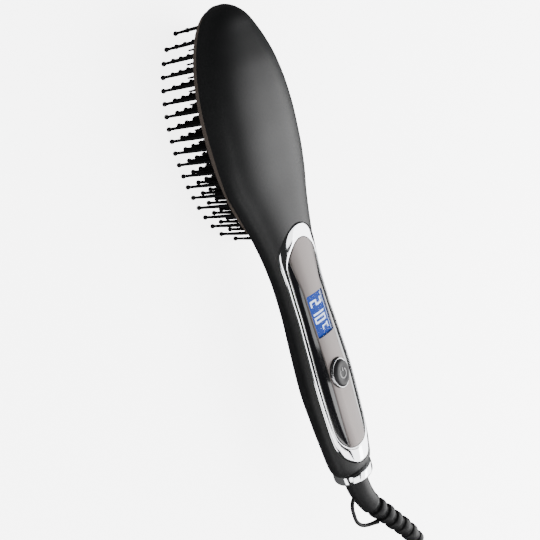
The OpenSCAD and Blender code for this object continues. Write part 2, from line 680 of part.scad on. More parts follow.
module shell_screw(s) {
  color("#a5a8ab") translate([0, at(s), under(s)]) {
    difference() {
      translate([0, 0, 0.7]) cylinder(h = 1.8, r = 2.7);
      translate([-1.8, -0.35, 0]) cube([3.6, 0.7, 1.5]);
      translate([-0.35, -1.8, 0]) cube([0.7, 3.6, 1.5]);
    }
    translate([0, 0, 2.4]) cylinder(h = 37.5 - under(s) - 2.4, r = screw_r);
  }
}
module shell_screw_1() shell_screw(shell_screws[0]);
module shell_screw_2() shell_screw(shell_screws[1]);

module collar() {
  color("#c8ccd0") difference() {
    translate([0, end_y, axis_z]) rotate([90, 0, 0]) scale([collar_rx / collar_rz, 1, 1])
      cylinder(h = collar_len, r = collar_rz);
    rod(body_len - 1, body_len + collar_len + 1, bush_r + fit);
  }
}

module swivel_bush() {
  color("#d9d9d2") difference() {
    union() {
      rod(258, body_len + collar_len, bush_r);
      rod(body_len - 5.5, body_len - 4.1, bush_r + 1.3);
    }
    rod(257, body_len + collar_len + 1, shaft_r + 0.08);
  }
}

module brush_block() { color("#3b2f2a") box(4.6, 246.8, 255.4, 29.1, 31.4); }

module brush_contacts() {
  color("#b87333") for (s = [249.3, 253.3]) {
    box(2.4, s - 0.7, s + 0.7, 31.4, 31.8);
    box(0.9, s - 0.7, s + 0.7, 31.7, axis_z - shaft_r - 1 - run);
  }
}

supply_route = [[4.9, 247.4, 32.2], [5.2, 244, 33.4], [5.6, 238, 36.4], [5.4, 233, 38.6], [2, 230.4, 38.8]];
module supply_leads() {
  color("#2d5bb8") mesh() {
    tube(smooth([for (p = supply_route) [-p.x - 1.4, at(p.y), p.z]], 1), 0.8, 6);
    tube(smooth([for (p = supply_route) [p.x - (p.y < 231 ? 4 : 0), at(p.y), p.z]], 1), 0.8, 6);
  }
}

module swivel_shaft() {
  color("#4a4c50") difference() {
    union() {
      rod(247, body_len + collar_len + shaft_out, shaft_r);
      rod(256.2, 257.7, bush_r - 0.6);
    }
    rod(246, body_len + collar_len + shaft_out + 1, 2.4);
  }
}
module slip_ring_a() { color("#c9a24a") pipe(248.3, 250.3, shaft_r + 1, shaft_r + 0.02); }
module slip_ring_b() { color("#c9a24a") pipe(252.3, 254.3, shaft_r + 1, shaft_r + 0.02); }

// Middle line of the strain relief, bending up and to the side: [x, distance from the collar, height]
boot_line = [[0, 0, 38.3], [0.2, 3.5, 38.4], [0.7, 7.8, 38.7], [1.6, 13.5, 39.2], [3.8, 21, 40.5],
  [7, 27.4, 42.4], [10.9, 34, 44.6], [14.9, 41.5, 46.9], [19, 48.7, 49.3], [22.4, 56, 51.2],
  [25, 63.5, 52.7]];
boot_y = swivel_y - run;
boot_path = smooth([for (p = boot_line) [p.x, boot_y - p.y, p.z + axis_z - 38.3]], 4);
boot_end = boot_path[len(boot_path) - 1];
function boot_len(i) = i == 0 ? 0 : boot_len(i - 1) + norm(boot_path[i] - boot_path[i - 1]);
boot_at = [for (i = [0:len(boot_path) - 1]) [boot_len(i), i]];
function boot_c(l) = let (i = lookup(l, boot_at), a = floor(i), b = min(len(boot_path) - 1, a + 1))
  boot_path[a] + (i - a) * (boot_path[b] - boot_path[a]);
boot_total = boot_at[len(boot_at) - 1][0];
ribs = 7;
rib_l = [for (k = [1:ribs]) boot_total - 2.2 - rib_pitch * (ribs - k)];
function rib_at(k) = rib_r + 1.2 * (ribs - 1 - k) / (ribs - 1);
// [length along the boot, radius] of its rings
boot_prof = concat([[0, boot_r - 0.7], [0.5, boot_r], [7, boot_r + 0.1], [15, boot_r - 0.2],
  [rib_l[0] - 3.2, boot_r - 0.5]],
  [for (k = [0:ribs - 1]) each [[rib_l[k] - (k == 0 ? 0 : 2), rib_at(k)],
  [rib_l[k] + 2, rib_at(k)], [rib_l[k] + 2.8, 4.6], [min(boot_total, rib_l[k] + 4.8), 4.6]]]);
boot_rings = [for (q = boot_prof) if (q[0] < boot_total - 0.1) q];
loop_path = [[0, -12.4, 38.5], [-6.4, -14, 38.4], [-8.8, -18, 38.3], [-9, -23, 38.3], [-8.6, -28, 38.6],
  [-6, -32.4, 39.2], [-1.5, -35.2, 40.4], [5, -36.6, 43]];
module strain_relief() {
  color("#1b1b1d") mesh() difference() {
    union() {
      loft([for (q = concat(boot_rings, [[boot_total, 4.2]])) let (c = boot_c(q[0]),
        t = unit(boot_c(min(boot_total, q[0] + 1)) - boot_c(max(0, q[0] - 1))))
        hoop(c, q[0] == 0 ? [0, -1, 0] : t, q[1], 14)]);
      tube(smooth([for (p = loop_path) [p.x, boot_y + p.y, p.z + axis_z - 38.3]], 2), loop_d / 2, 6);
    }
    rod(body_len - 2, body_len + collar_len + shaft_out + 0.2, shaft_r + 0.06);
  }
}

// Route of the power cord from the strain relief down to the coil
coil_pitch = cord_d + 0.6;
coil_c = [0, boot_y - 184];
coil_z = cord_d / 2 + 0.9;
coil_rings = 24;
coil_out = coil_r + coil_pitch * coil_turns;
// The spiral runs in and out again twice and climbs a layer in each half turn where it reverses
function climb(t, k) = ease((t - k * coil_turns) * 2 + 0.5);
function coil_at(i) = let (t = i / coil_rings, q = t - 2 * coil_turns * floor(t / (2 * coil_turns) - 0.0001),
  r = coil_r + coil_pitch * abs(coil_turns - q), a = -360 * t)
  [coil_c.x + r * cos(a), coil_c.y + r * sin(a),
  coil_z + coil_pitch * (climb(t, 1) + climb(t, 2) + climb(t, 3))];
coil_main = [for (i = [0:4 * coil_turns * coil_rings]) coil_at(i)];
coil_end = coil_main[len(coil_main) - 1];
// From the coil's end, turning back over the coil to the plug that lies on it
coil_tail = [[0, -8, 0.5], [0, -16, 1.6], [-2.5, -25.5, 3.2], [-9.5, -32.4, 5], [-18.9, -34.9, 7],
  [-28.4, -32.4, 8.8], [-35.3, -25.5, 9.9], [-37.8, -16, 10.3], [-37.8, -10, 10.3]];
coil_in = coil_main[0] + [0, 6, 0];
coil_path = concat([coil_in], coil_main, [for (p = coil_tail) coil_end + p]);
echo(coil_gap = min([for (i = [0:len(coil_path) - 1]) for (j = [i + 12:1:len(coil_path) - 1])
  norm(coil_path[i] - coil_path[j])]) - cord_d);
// Middle line of the free cord: [x, distance from the collar, height]
cord_free = [[27.6, 71.5, 53.7], [30.2, 81.5, 53], [32.6, 93, 49.6], [34.5, 105, 43.2], [35.9, 117, 34.8],
  [36.8, 129, 25.6], [37.4, 141, 17.2], [37.7, 153.5, 10.4], [37.8, 165, 6.1]];
cord_path = smooth(concat([boot_end, boot_end + 3 * unit(boot_end - boot_path[len(boot_path) - 2])],
  [for (p = cord_free) [p.x, boot_y - p.y, p.z]], [coil_in + [0, 3, 0], coil_in]), 1);
module cord_tube() { color("#1a1a1c") tube(cord_path, cord_d / 2, 8); }
module cord_coil() { color("#1a1a1c") tube(coil_path, cord_d / 2, 6); }

module cord_tie() {
  r0 = coil_r - cord_d / 2 - 0.2;
  r1 = coil_out + cord_d / 2 + 0.6;
  h = coil_z + 3 * coil_pitch + cord_d / 2 + 0.3;
  color("#2b2b2e") translate([coil_c.x - 4, coil_c.y - r1, 0.1]) difference() {
    cube([8, r1 - r0, h + 0.6]);
    translate([-1, 0.7, 0.7]) cube([10, r1 - r0 - 1.4, h - 0.8]);
  }
}

plug_dir = 180;
module plug_body() {
  color("#1d1d20") translate(coil_path[len(coil_path) - 1]) rotate([90, 0, plug_dir]) {
    cylinder(h = 16, r1 = cord_d / 2 + 0.3, r2 = 6.4);
    for (x = [-4, 4]) translate([x, 0, 15.8]) cylinder(h = 22, r = 7);
    translate([-4, -7, 15.8]) cube([8, 14, 22]);
  }
}
module plug_pins() {
  color("#c9b27a") translate(coil_path[len(coil_path) - 1]) rotate([90, 0, plug_dir])
    for (x = [-6.35, 6.35]) translate([x - 0.75, -3.2, 37.8]) cube([1.5, 6.4, 17]);
}

back_shell();
front_shell();
head_frame();
bristle_pad();
heat_plate();
heating_element_a();
heating_element_b();
insulation_sheet();
heater_clamp();
clamp_screw_a();
clamp_screw_b();
temp_sensor();
thermal_fuse();
plate_screw_1();
plate_screw_2();
plate_screw_3();
plate_screw_4();
heater_leads();
chrome_ring();
panel();
inlay_strip();
lcd_lens();
lcd_module();
main_pcb();
mcu_chip();
triac();
film_capacitor();
terminal_block();
tact_switch();
button_bezel();
button_cap();
return_sleeve();
shell_screw_1();
shell_screw_2();
collar();
swivel_bush();
brush_block();
brush_contacts();
supply_leads();
swivel_shaft();
slip_ring_a();
slip_ring_b();
strain_relief();
cord_tube();
cord_coil();
cord_tie();
plug_body();
plug_pins();
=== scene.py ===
import json
import math
import bmesh
import bpy
import numpy as np
from mathutils import Matrix, Vector


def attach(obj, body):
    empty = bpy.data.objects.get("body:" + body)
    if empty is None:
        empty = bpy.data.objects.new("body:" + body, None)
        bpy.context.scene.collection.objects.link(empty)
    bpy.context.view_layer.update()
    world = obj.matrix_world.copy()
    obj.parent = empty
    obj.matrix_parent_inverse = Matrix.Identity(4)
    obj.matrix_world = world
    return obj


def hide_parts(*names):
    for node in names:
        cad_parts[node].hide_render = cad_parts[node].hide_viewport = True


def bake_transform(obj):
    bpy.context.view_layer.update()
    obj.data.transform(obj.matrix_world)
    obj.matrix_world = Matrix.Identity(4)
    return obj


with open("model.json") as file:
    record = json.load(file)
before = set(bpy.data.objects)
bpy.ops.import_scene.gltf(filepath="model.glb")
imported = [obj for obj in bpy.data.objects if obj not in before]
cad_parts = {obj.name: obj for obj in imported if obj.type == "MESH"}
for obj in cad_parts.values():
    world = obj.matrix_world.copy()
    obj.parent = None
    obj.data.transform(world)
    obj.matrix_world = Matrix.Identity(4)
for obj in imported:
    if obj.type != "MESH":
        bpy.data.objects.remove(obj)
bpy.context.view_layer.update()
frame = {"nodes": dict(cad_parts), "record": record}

MM = 0.001
scene = bpy.context.scene

# ---------------------------------------------------------------- camera, fitted to the photo
FOCAL_PX, PHOTO_PX = 795.92, 540
ROLL = math.radians(15.2036)
RIGHT = np.array([0.71240523, -0.00925605, 0.70170729])
DOWN = np.array([-0.22048006, -0.95223369, 0.21128073])
AHEAD = np.array([0.66623369, -0.30522996, -0.68041703])
right = math.cos(ROLL) * RIGHT + math.sin(ROLL) * DOWN
down = -math.sin(ROLL) * RIGHT + math.cos(ROLL) * DOWN
cam_data = bpy.data.cameras.new("camera")
cam_data.sensor_width = 36
cam_data.lens = 36 * FOCAL_PX / PHOTO_PX
cam_data.clip_start, cam_data.clip_end = 0.01, 20
cam = bpy.data.objects.new("camera", cam_data)
scene.collection.objects.link(cam)
pose = Matrix.Identity(4)
for i in range(3):
    pose[i][0], pose[i][1], pose[i][2] = right[i], -down[i], -AHEAD[i]
pose[0][3], pose[1][3], pose[2][3] = -0.29958, 0.13435, 0.32275
cam.matrix_world = pose
scene.camera = cam

# ---------------------------------------------------------------- sizes in mm, as in the part's source
# body length, head width, distance from the tip to the widest point, height of the crown, length of the nose
BODY, HEAD_W, TIP, CROWN_Z, NOSE = 270, 60.2, 62, 47.9, 10
# wall of the shells, then the oval frame: length, width, height, wall, ledge
SHELL, F_LEN, F_W, F_H, F_T, LEDGE = 2, 128.6, 58.6, 4, 1.3, 2
# neck, grip and end of the handle: width, distance from the tip, height of the top and of the underside
NECK_W, NECK, NECK_C, NECK_U = 33.4, 155, 45.3, 24.5
GRIP_W, GRIP, GRIP_C, GRIP_U = 37.8, 212, 48.4, 23
END_W, END_C, END_U = 30.8, 49.7, 27
# bristle length, thickness of the pad, length and width of the field of bristles
BL, PAD_T, FIELD_L, FIELD_W = 26.5, 2, F_LEN - 2 * 6, F_W - 2 * 2.5
# bristles: spacing of the rows and in a row, lean, radius at the root and above the ball, radius of the ball
ROW, COL, SPLAY, ROOT_R, STRAND_R, BALL = 6.4, 6, 1.8, 1.1, 0.8, 1.35
# heated teeth: length, spacing, thickness of a comb, distance from the outer bristles
TOOTH_L, TOOTH_P, COMB_T, COMB_GAP = 12, 3.8, 1.4, 3
# chrome ring: start, length, inset, width of the rail, arch and foot, rise and depth of its recess
RING, RING_L, RING_INSET, RING_W, ARCH_W, FOOT_W, RISE, RECESS = 116.5, 147.4, 2, 2.3, 8.1, 11.4, 0.6, 2.6
# strip: half width, flare towards the head, thickness, rise over the panel
STRIP_HW, FLARE, STRIP_T, STRIP_RISE = 7.7, 3, 0.8, 0.25
# display: distance from the tip, length, width, thickness of its window
LCD, LCD_L, LCD_W, LENS_T = 169.5, 24.8, 13.2, 1.2
# button: distance from the tip, half width, half length, rise, then the bezel's rise and width
BTN, BRX, BRY, BRISE, ZRISE, BZW = 206.2, 5.85, 7.8, 3, 1.8, 1
# height of the swivel's axis, collar (length, half width, half height), radius of bush, shaft, boot and
# ribs, thickness of the loop
AXIS, COLLAR_L, CRX, CRZ, BUSH, SHAFT, BOOT_R, RIB_R, LOOP = 38.3, 6.5, 13.2, 11.2, 7.4, 4.6, 7.2, 5.4, 2.4
# cord: thickness, radius and turns of its coil; clearance of fixed and of running parts; shaft past the
# collar; number and spacing of the ribs
CORD, COIL_R, TURNS, FIT, RUN, SHAFT_OUT, RIBS, RIB_PITCH = 5.8, 25, 2, 0.2, 0.3, 6, 7, 7.6
# distance from the tip to the start of the lower shell and of the swivel's seat, then to screws and posts
LOWER, SEAT = 83, 243
SHELL_SCREWS = (143, 240.5)
BOARD_POSTS = ((8, 160), (-8, 160), (8, 231), (-8, 231))
TIP_Y = (BODY + COLLAR_L + SHAFT_OUT) / 2
END_Y = TIP_Y - BODY
SWIVEL_Y = END_Y - COLLAR_L
WIDE = BL + F_H
NOSE_Z = WIDE + 2.5
OVAL = F_LEN / 2 + 1.2
PLATE_Z = WIDE - 0.1
PLATE_TOP = PLATE_Z + 2.4
COMB_Z = BL - 0.8
RING_END = RING + RING_L
IN0, IN1 = RING + ARCH_W, RING_END - FOOT_W
PITCH = CORD + 0.6
SCREW_Y = ROW * round((F_LEN / 2 - 29.3) / ROW)
PLATE_SCREWS = [(x, OVAL + y) for y in (-SCREW_Y, SCREW_Y) for x in (F_W / 2 - 13.3, 13.3 - F_W / 2)]


def at(s):
    """Y of a point s mm from the tip."""
    return TIP_Y - s


def curve(t, x):
    """Smooth curve through (position, value) pairs."""
    n = len(t)
    i = 0
    while i < n - 2 and x >= t[i + 1][0]:
        i += 1

    def slope(k):
        return (t[k + 1][1] - t[k][1]) / (t[k + 1][0] - t[k][0])

    def tang(k):
        if k == 0:
            return slope(0)
        if k == n - 1:
            return slope(k - 1)
        a, b = slope(k - 1), slope(k)
        return 0 if a * b <= 0 else 2 * a * b / (a + b)

    h = t[i + 1][0] - t[i][0]
    u = (x - t[i][0]) / h
    return ((1 + 2 * u) * (1 - u) ** 2 * t[i][1] + u * u * (3 - 2 * u) * t[i + 1][1]
            + h * u * (1 - u) * ((1 - u) * tang(i) - u * tang(i + 1)))


def clamp(v):
    return max(0.0, min(1.0, v))


def ease(v):
    t = clamp(v)
    return t * t * (3 - 2 * t)


def smin(a, b):
    """Smaller of the two, with a soft change between them."""
    return (a ** -8 + b ** -8) ** (-1 / 8)


def super_pow(v, n):
    """A sine or cosine turned into that of a superellipse."""
    return math.copysign(abs(v) ** (2 / n), v)


# Along the housing, by distance from the tip: half width, crown, underside, height of the widest line,
# squareness of the upper section and depth of the cavity's roof
HALF = [(TIP, HEAD_W / 2), (TIP + 13, HEAD_W / 2 - 0.1), (TIP + 28, HEAD_W / 2 - 1.6),
        (TIP + 43, HEAD_W / 2 - 5.8), (TIP + 58, HEAD_W / 2 - 9.6), (NECK - 19, NECK_W / 2 + 1.1),
        (NECK - 4, NECK_W / 2), (NECK + 10, NECK_W / 2), (GRIP - 27, GRIP_W / 2 - 1.2), (GRIP, GRIP_W / 2),
        (GRIP + 23, GRIP_W / 2 - 0.6), (BODY - 15, END_W / 2 + 1.2), (BODY - 6, END_W / 2),
        (BODY - 2, END_W / 2 - 0.9), (BODY, END_W / 2 - 2)]
CROWN = [(0, CROWN_Z - 5), (12, CROWN_Z - 3.6), (20, CROWN_Z - 2.2), (32, CROWN_Z - 0.5), (46, CROWN_Z),
         (60, CROWN_Z - 0.2), (76, CROWN_Z - 1.3), (96, NECK_C + 0.1), (NECK - 15, NECK_C - 0.1),
         (NECK, NECK_C), (NECK + 16, NECK_C + 0.6), (GRIP - 20, GRIP_C - 1.2), (GRIP, GRIP_C),
         (GRIP + 24, END_C - 0.8), (BODY - 16, END_C - 0.1), (BODY - 7, END_C), (BODY - 2.5, END_C - 0.8),
         (BODY, END_C - 2.4)]
UNDER = [(LOWER, WIDE - 1.5), (88, BL - 0.6), (94, BL - 1.9), (105, NECK_U - 0.5), (120, NECK_U - 1),
         (NECK - 20, NECK_U - 0.4), (NECK, NECK_U), (GRIP - 24, GRIP_U + 0.4), (GRIP, GRIP_U),
         (GRIP + 24, END_U - 1.8), (BODY - 18, END_U - 0.5), (BODY - 6, END_U), (BODY - 2, END_U + 0.8),
         (BODY, END_U + 1.8)]
WIDE_LINE = [(0, WIDE), (LOWER, WIDE), (105, WIDE + 1), (120, WIDE + 2.8), (NECK - 20, AXIS - 3.6),
             (NECK - 5, AXIS - 2.3), (NECK + 10, AXIS - 1.3), (GRIP - 27, AXIS - 0.4), (GRIP, AXIS),
             (BODY, AXIS)]
ROUND = [(0, 2.2), (30, 2.5), (80, 2.6), (110, 2.4), (NECK - 15, 2.1), (NECK, 2), (BODY, 2)]
DECK = [(0, SHELL), (RING - 14, SHELL), (RING - 4, RECESS + SHELL + 0.4), (BODY, RECESS + SHELL + 0.4)]


def half_w(s, d=0.0):
    """Half width of the housing, d mm inside its skin."""
    if s < TIP:
        return (HEAD_W / 2 - d) * math.sqrt(max(0, 1 - ((TIP - s) / (TIP - d)) ** 2))
    return curve(HALF, s) - d


def wide(s):
    return curve(WIDE_LINE, s)


def crown(s, d=0.0):
    q = clamp((s - d) / NOSE)
    return NOSE_Z + (curve(CROWN, s) - NOSE_Z) * math.sqrt(max(0, 1 - (1 - q) ** 2))


def under(s):
    return curve(UNDER, s)


def top(x, s):
    """Height of the upper skin."""
    n, w = curve(ROUND, s), wide(s)
    return w + (crown(s) - w) * max(0, 1 - (abs(x) / half_w(s)) ** n) ** (1 / n)


def low(x, s):
    """Height of the lower skin."""
    w = wide(s)
    return w - (w - under(s)) * max(0, 1 - (abs(x) / half_w(s)) ** 2.2) ** (1 / 2.2)


def arch(s, start, k):
    return math.sqrt(max(0.0001, (s - start) / k))


def taper(s, end, length, power):
    if s < end - length:
        return 1
    return max(0.000001, 1 - ((s - end + length) / length) ** power) ** (1 / power)


def ring_x(s):
    return smin(arch(s, RING, 0.046), half_w(s) - RING_INSET) * taper(s, RING_END, 18.5, 2.2)


def inner_x(s):
    return smin(arch(s, IN0, 0.068), half_w(s) - RING_INSET - RING_W) * taper(s, IN1, 17.2, 2.8)


def panel_x(s):
    return max(0.02, inner_x(s) - FIT)


def strip_x(s):
    return STRIP_HW + FLARE * ease((LCD - 13 - s) / 24)


# ---------------------------------------------------------------- materials
def node(nt, kind, **kw):
    n = nt.nodes.new(kind)
    for k, v in kw.items():
        setattr(n, k, v)
    return n


def material(name, color, rough=0.4, metal=0.0, vary=0.04, scale=60, grain=900, bump=0.02, coat=0.0,
             alpha=None, emit=None, stretch=(1, 1, 1), rough_vary=0.06, spec=0.5):
    """Plastic, metal or rubber: base colour with slow variation, fine grain in roughness and relief."""
    mt = bpy.data.materials.new(name)
    mt.use_nodes = True
    nt = mt.node_tree
    nt.nodes.clear()
    out = node(nt, "ShaderNodeOutputMaterial")
    b = node(nt, "ShaderNodeBsdfPrincipled")
    nt.links.new(b.outputs[0], out.inputs[0])
    co = node(nt, "ShaderNodeTexCoord")
    mp = node(nt, "ShaderNodeMapping")
    mp.inputs["Scale"].default_value = stretch
    nt.links.new(co.outputs["Object"], mp.inputs[0])
    slow = node(nt, "ShaderNodeTexNoise")
    slow.inputs["Scale"].default_value = scale
    slow.inputs["Detail"].default_value = 3
    nt.links.new(mp.outputs[0], slow.inputs[0])
    fine = node(nt, "ShaderNodeTexNoise")
    fine.inputs["Scale"].default_value = grain
    fine.inputs["Detail"].default_value = 2
    nt.links.new(mp.outputs[0], fine.inputs[0])
    ramp = node(nt, "ShaderNodeValToRGB")
    ramp.color_ramp.elements[0].position, ramp.color_ramp.elements[1].position = 0.3, 0.7
    ramp.color_ramp.elements[0].color = [v * (1 - vary) for v in color] + [1]
    ramp.color_ramp.elements[1].color = [min(1, v * (1 + vary)) for v in color] + [1]
    nt.links.new(slow.outputs[0], ramp.inputs[0])
    nt.links.new(ramp.outputs[0], b.inputs["Base Color"])
    mr = node(nt, "ShaderNodeMapRange")
    mr.inputs["To Min"].default_value = max(0.02, rough - rough_vary)
    mr.inputs["To Max"].default_value = min(1, rough + rough_vary)
    nt.links.new(fine.outputs[0], mr.inputs[0])
    nt.links.new(mr.outputs[0], b.inputs["Roughness"])
    b.inputs["Metallic"].default_value = metal
    b.inputs["Specular IOR Level"].default_value = spec
    if coat:
        b.inputs["Coat Weight"].default_value = coat
        b.inputs["Coat Roughness"].default_value = 0.05
    if bump:
        bp = node(nt, "ShaderNodeBump")
        bp.inputs["Strength"].default_value = bump
        bp.inputs["Distance"].default_value = 0.0002
        nt.links.new(fine.outputs[0], bp.inputs["Height"])
        nt.links.new(bp.outputs[0], b.inputs["Normal"])
    if alpha is not None:
        b.inputs["Alpha"].default_value = alpha
    if emit:
        b.inputs["Emission Color"].default_value = list(emit[0]) + [1]
        b.inputs["Emission Strength"].default_value = emit[1]
    return mt


M = {
    "shell": material("shell_black", (0.006, 0.006, 0.0065), 0.45, vary=0.12, grain=1400, bump=0.05,
                      spec=0.3),
    "shell_front": material("shell_front_black", (0.006, 0.006, 0.0065), 0.36, vary=0.12, grain=1400,
                            bump=0.04, spec=0.2),
    "frame": material("frame_brown", (0.05, 0.038, 0.031), 0.45, vary=0.08, grain=900, bump=0.04),
    "bristle": material("bristle_black", (0.004, 0.004, 0.0045), 0.42, vary=0.2, scale=300, bump=0.03,
                        spec=0.25),
    "pad": material("pad_black", (0.010, 0.010, 0.011), 0.6, vary=0.15, bump=0.08),
    "heat": material("coated_plate", (0.014, 0.013, 0.013), 0.5, metal=0.3, vary=0.1, grain=1500, bump=0.1),
    "chrome": material("chrome_trim", (0.80, 0.81, 0.83), 0.08, metal=1, vary=0.01, grain=500, bump=0.004,
                       rough_vary=0.03),
    # painted reflection: the panel's black stands in for the dark room that the panel mirrors beside the
    # strip
    "panel": material("panel_black_painted_reflection", (0.004, 0.004, 0.005), 0.09, vary=0.1, grain=300, bump=0.002, coat=0.6,
                      rough_vary=0.03),
    "strip": material("gunmetal_strip", (0.1054, 0.093, 0.0899), 0.34, metal=0.85, vary=0.06, scale=40,
                      grain=700, bump=0.02, stretch=(1, 0.05, 1)),
    "lens": material("lcd_window", (0.02, 0.06, 0.3), 0.06, vary=0.01, bump=0.0, alpha=0.12, rough_vary=0.02,
                     spec=0.08),
    "lcd": material("lcd_backlight", (0.004, 0.02, 0.14), 0.5, vary=0.05, bump=0.0, spec=0.1,
                    emit=((0.004, 0.045, 0.4), 0.6)),
    "lcd_fore": material("lcd_segments", (0.8, 0.88, 1.0), 0.4, vary=0.02, bump=0.0,
                         emit=((0.5, 0.68, 1.0), 0.75)),
    "lcd_case": material("lcd_case", (0.03, 0.03, 0.035), 0.5),
    "button": material("button_dark", (0.018, 0.018, 0.019), 0.36, vary=0.1, bump=0.03, spec=0.14),
    "bezel": material("bezel_satin", (0.5, 0.5, 0.51), 0.2, metal=1, vary=0.03, grain=600, bump=0.01),
    "mark": material("button_mark", (0.13, 0.13, 0.13), 0.4, metal=0.3, vary=0.04, bump=0.01),
    "rubber": material("cord_rubber", (0.007, 0.007, 0.0075), 0.46, vary=0.1, grain=1100, bump=0.05,
                       spec=0.16),
    "tie": material("tie_black", (0.02, 0.02, 0.022), 0.6, vary=0.1, bump=0.06),
    "steel": material("screw_steel", (0.55, 0.56, 0.58), 0.28, metal=1, vary=0.05, bump=0.02),
    "brass": material("brass", (0.70, 0.50, 0.20), 0.25, metal=1, vary=0.05, bump=0.02),
    "copper": material("copper", (0.72, 0.36, 0.18), 0.3, metal=1, vary=0.05, bump=0.02),
    "ceramic": material("ceramic", (0.82, 0.79, 0.73), 0.6, vary=0.04, bump=0.06),
    "mica": material("mica_sheet", (0.62, 0.54, 0.36), 0.55, vary=0.15, scale=150, bump=0.1),
    "sensor": material("sensor_glass", (0.68, 0.22, 0.08), 0.2, coat=0.5),
    "fuse": material("fuse_case", (0.72, 0.72, 0.7), 0.35, metal=0.9),
    "red": material("lead_red", (0.45, 0.03, 0.03), 0.5),
    "blue": material("lead_blue", (0.04, 0.10, 0.42), 0.5),
    "pcb": material("board_green", (0.025, 0.15, 0.06), 0.4, vary=0.15, scale=220, coat=0.3),
    "chip": material("chip_black", (0.02, 0.02, 0.022), 0.55, bump=0.06),
    "film": material("capacitor_yellow", (0.62, 0.42, 0.03), 0.3, coat=0.3),
    "term": material("terminal_green", (0.04, 0.28, 0.1), 0.45),
    "silicone": material("silicone", (0.72, 0.70, 0.64), 0.6, bump=0.05),
    "bush": material("bush_white", (0.72, 0.72, 0.68), 0.45),
    "bakelite": material("bakelite", (0.09, 0.05, 0.03), 0.5),
    "shaft": material("shaft_grey", (0.09, 0.092, 0.098), 0.45),
}
SLOTS = {"ceramic": "ceramic", "mica": "mica", "steel": "steel", "sensor_glass": "sensor",
         "fuse_case": "fuse", "red_lead": "red", "blue_lead": "blue", "lcd_blue": "lcd_case",
         "board_green": "pcb", "chip_black": "chip", "capacitor_yellow": "film", "terminal_green": "term",
         "silicone": "silicone", "bush_white": "bush", "bakelite": "bakelite", "copper": "copper",
         "shaft_grey": "shaft", "brass": "brass", "housing_black": "shell", "frame_brown": "frame",
         "bristle_black": "bristle", "coated_aluminium": "heat", "chrome_trim": "chrome",
         "gloss_black": "panel", "gunmetal": "strip", "lcd_window": "lens", "button_grey": "button",
         "cord_black": "rubber", "tie_black": "tie"}
for sub in frame["record"]["subparts"]:
    ob, mat = frame["nodes"][sub["node"]], M[SLOTS[sub["material_slot"]]]
    if not ob.material_slots:
        ob.data.materials.append(mat)
    for mat_slot in ob.material_slots:
        mat_slot.material = mat


# ---------------------------------------------------------------- mesh helpers
def mesh_of(name, verts, faces):
    me = bpy.data.meshes.new(name)
    me.from_pydata([tuple(c * MM for c in v) for v in verts], [], [tuple(int(i) for i in f) for f in faces])
    return me


def make(name, verts, faces, mat, body="handle", replaces=(), slot=None, angle=35, smooth=True):
    return finish_piece(name, mesh_of(name, verts, faces), mat, body, replaces, angle, smooth)


def finish_piece(name, me, mat, body, replaces, angle=35, smooth=True):
    """Cleaned and shaded piece that rides its body and takes the place of the CAD nodes it replaces."""
    me.name = name
    bm = bmesh.new()
    bm.from_mesh(me)
    bmesh.ops.remove_doubles(bm, verts=bm.verts, dist=1e-6)
    bmesh.ops.dissolve_degenerate(bm, dist=1e-7, edges=bm.edges)
    bmesh.ops.recalc_face_normals(bm, faces=bm.faces)
    lim = math.radians(angle)
    for e in bm.edges:
        e.smooth = not (len(e.link_faces) == 2 and e.calc_face_angle(0) > lim)
    for f in bm.faces:
        f.smooth = smooth
    bm.to_mesh(me)
    bm.free()
    ob = bpy.data.objects.new(name, me)
    scene.collection.objects.link(ob)
    me.materials.append(mat)
    if body:
        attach(ob, body)
    if replaces:
        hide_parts(*replaces)
    return ob


def turn(n, k):
    """Angle of the k-th of n points round a circle."""
    return 2 * math.pi * k / n


def loft(rings):
    """Vertices and faces through closed rings, with end caps."""
    n, v, f = len(rings[0]), [p for r in rings for p in r], []
    for i in range(len(rings) - 1):
        for j in range(n):
            k = (j + 1) % n
            f.append((i * n + j, (i + 1) * n + j, (i + 1) * n + k, i * n + k))
    f.append(tuple(range(n)))
    f.append(tuple((len(rings) - 1) * n + j for j in range(n - 1, -1, -1)))
    return v, f


def closed(rings):
    """Vertices and faces through closed rings, the last ring joined to the first."""
    n, m = len(rings[0]), len(rings)
    return [p for r in rings for p in r], [(i * n + k, (i + 1) % m * n + k, (i + 1) % m * n + (k + 1) % n,
                                            i * n + (k + 1) % n) for i in range(m) for k in range(n)]


def add(parts):
    v, f = [], []
    for pv, pf in parts:
        o = len(v)
        v += list(pv)
        f += [tuple(i + o for i in q) for q in pf]
    return v, f


def scratch(me):
    """Object of a mesh, to be used up by a boolean."""
    ob = bpy.data.objects.new("scratch", me)
    scene.collection.objects.link(ob)
    return ob


def raw(vf):
    """Scratch object of vertices and faces, cleaned for a boolean."""
    me = mesh_of("scratch", *vf)
    bm = bmesh.new()
    bm.from_mesh(me)
    bmesh.ops.remove_doubles(bm, verts=bm.verts, dist=1e-7)
    bmesh.ops.recalc_face_normals(bm, faces=bm.faces)
    bm.to_mesh(me)
    bm.free()
    return scratch(me)


def cut(base, tools, op="DIFFERENCE"):
    """Mesh of a boolean of scratch objects, which are removed."""
    for t in tools:
        md = base.modifiers.new("cut", "BOOLEAN")
        md.operation, md.object, md.solver = op, t, "EXACT"
    bpy.context.view_layer.update()
    me = bpy.data.meshes.new_from_object(base.evaluated_get(bpy.context.evaluated_depsgraph_get()))
    for t in [base] + list(tools):
        old = t.data
        bpy.data.objects.remove(t)
        bpy.data.meshes.remove(old)
    return me


def cylinder(c, r, z0, z1, n=32):
    return loft([[(c[0] + r * math.cos(turn(n, k)), c[1] - r * math.sin(turn(n, k)), z) for k in range(n)]
                 for z in (z1, z0)])


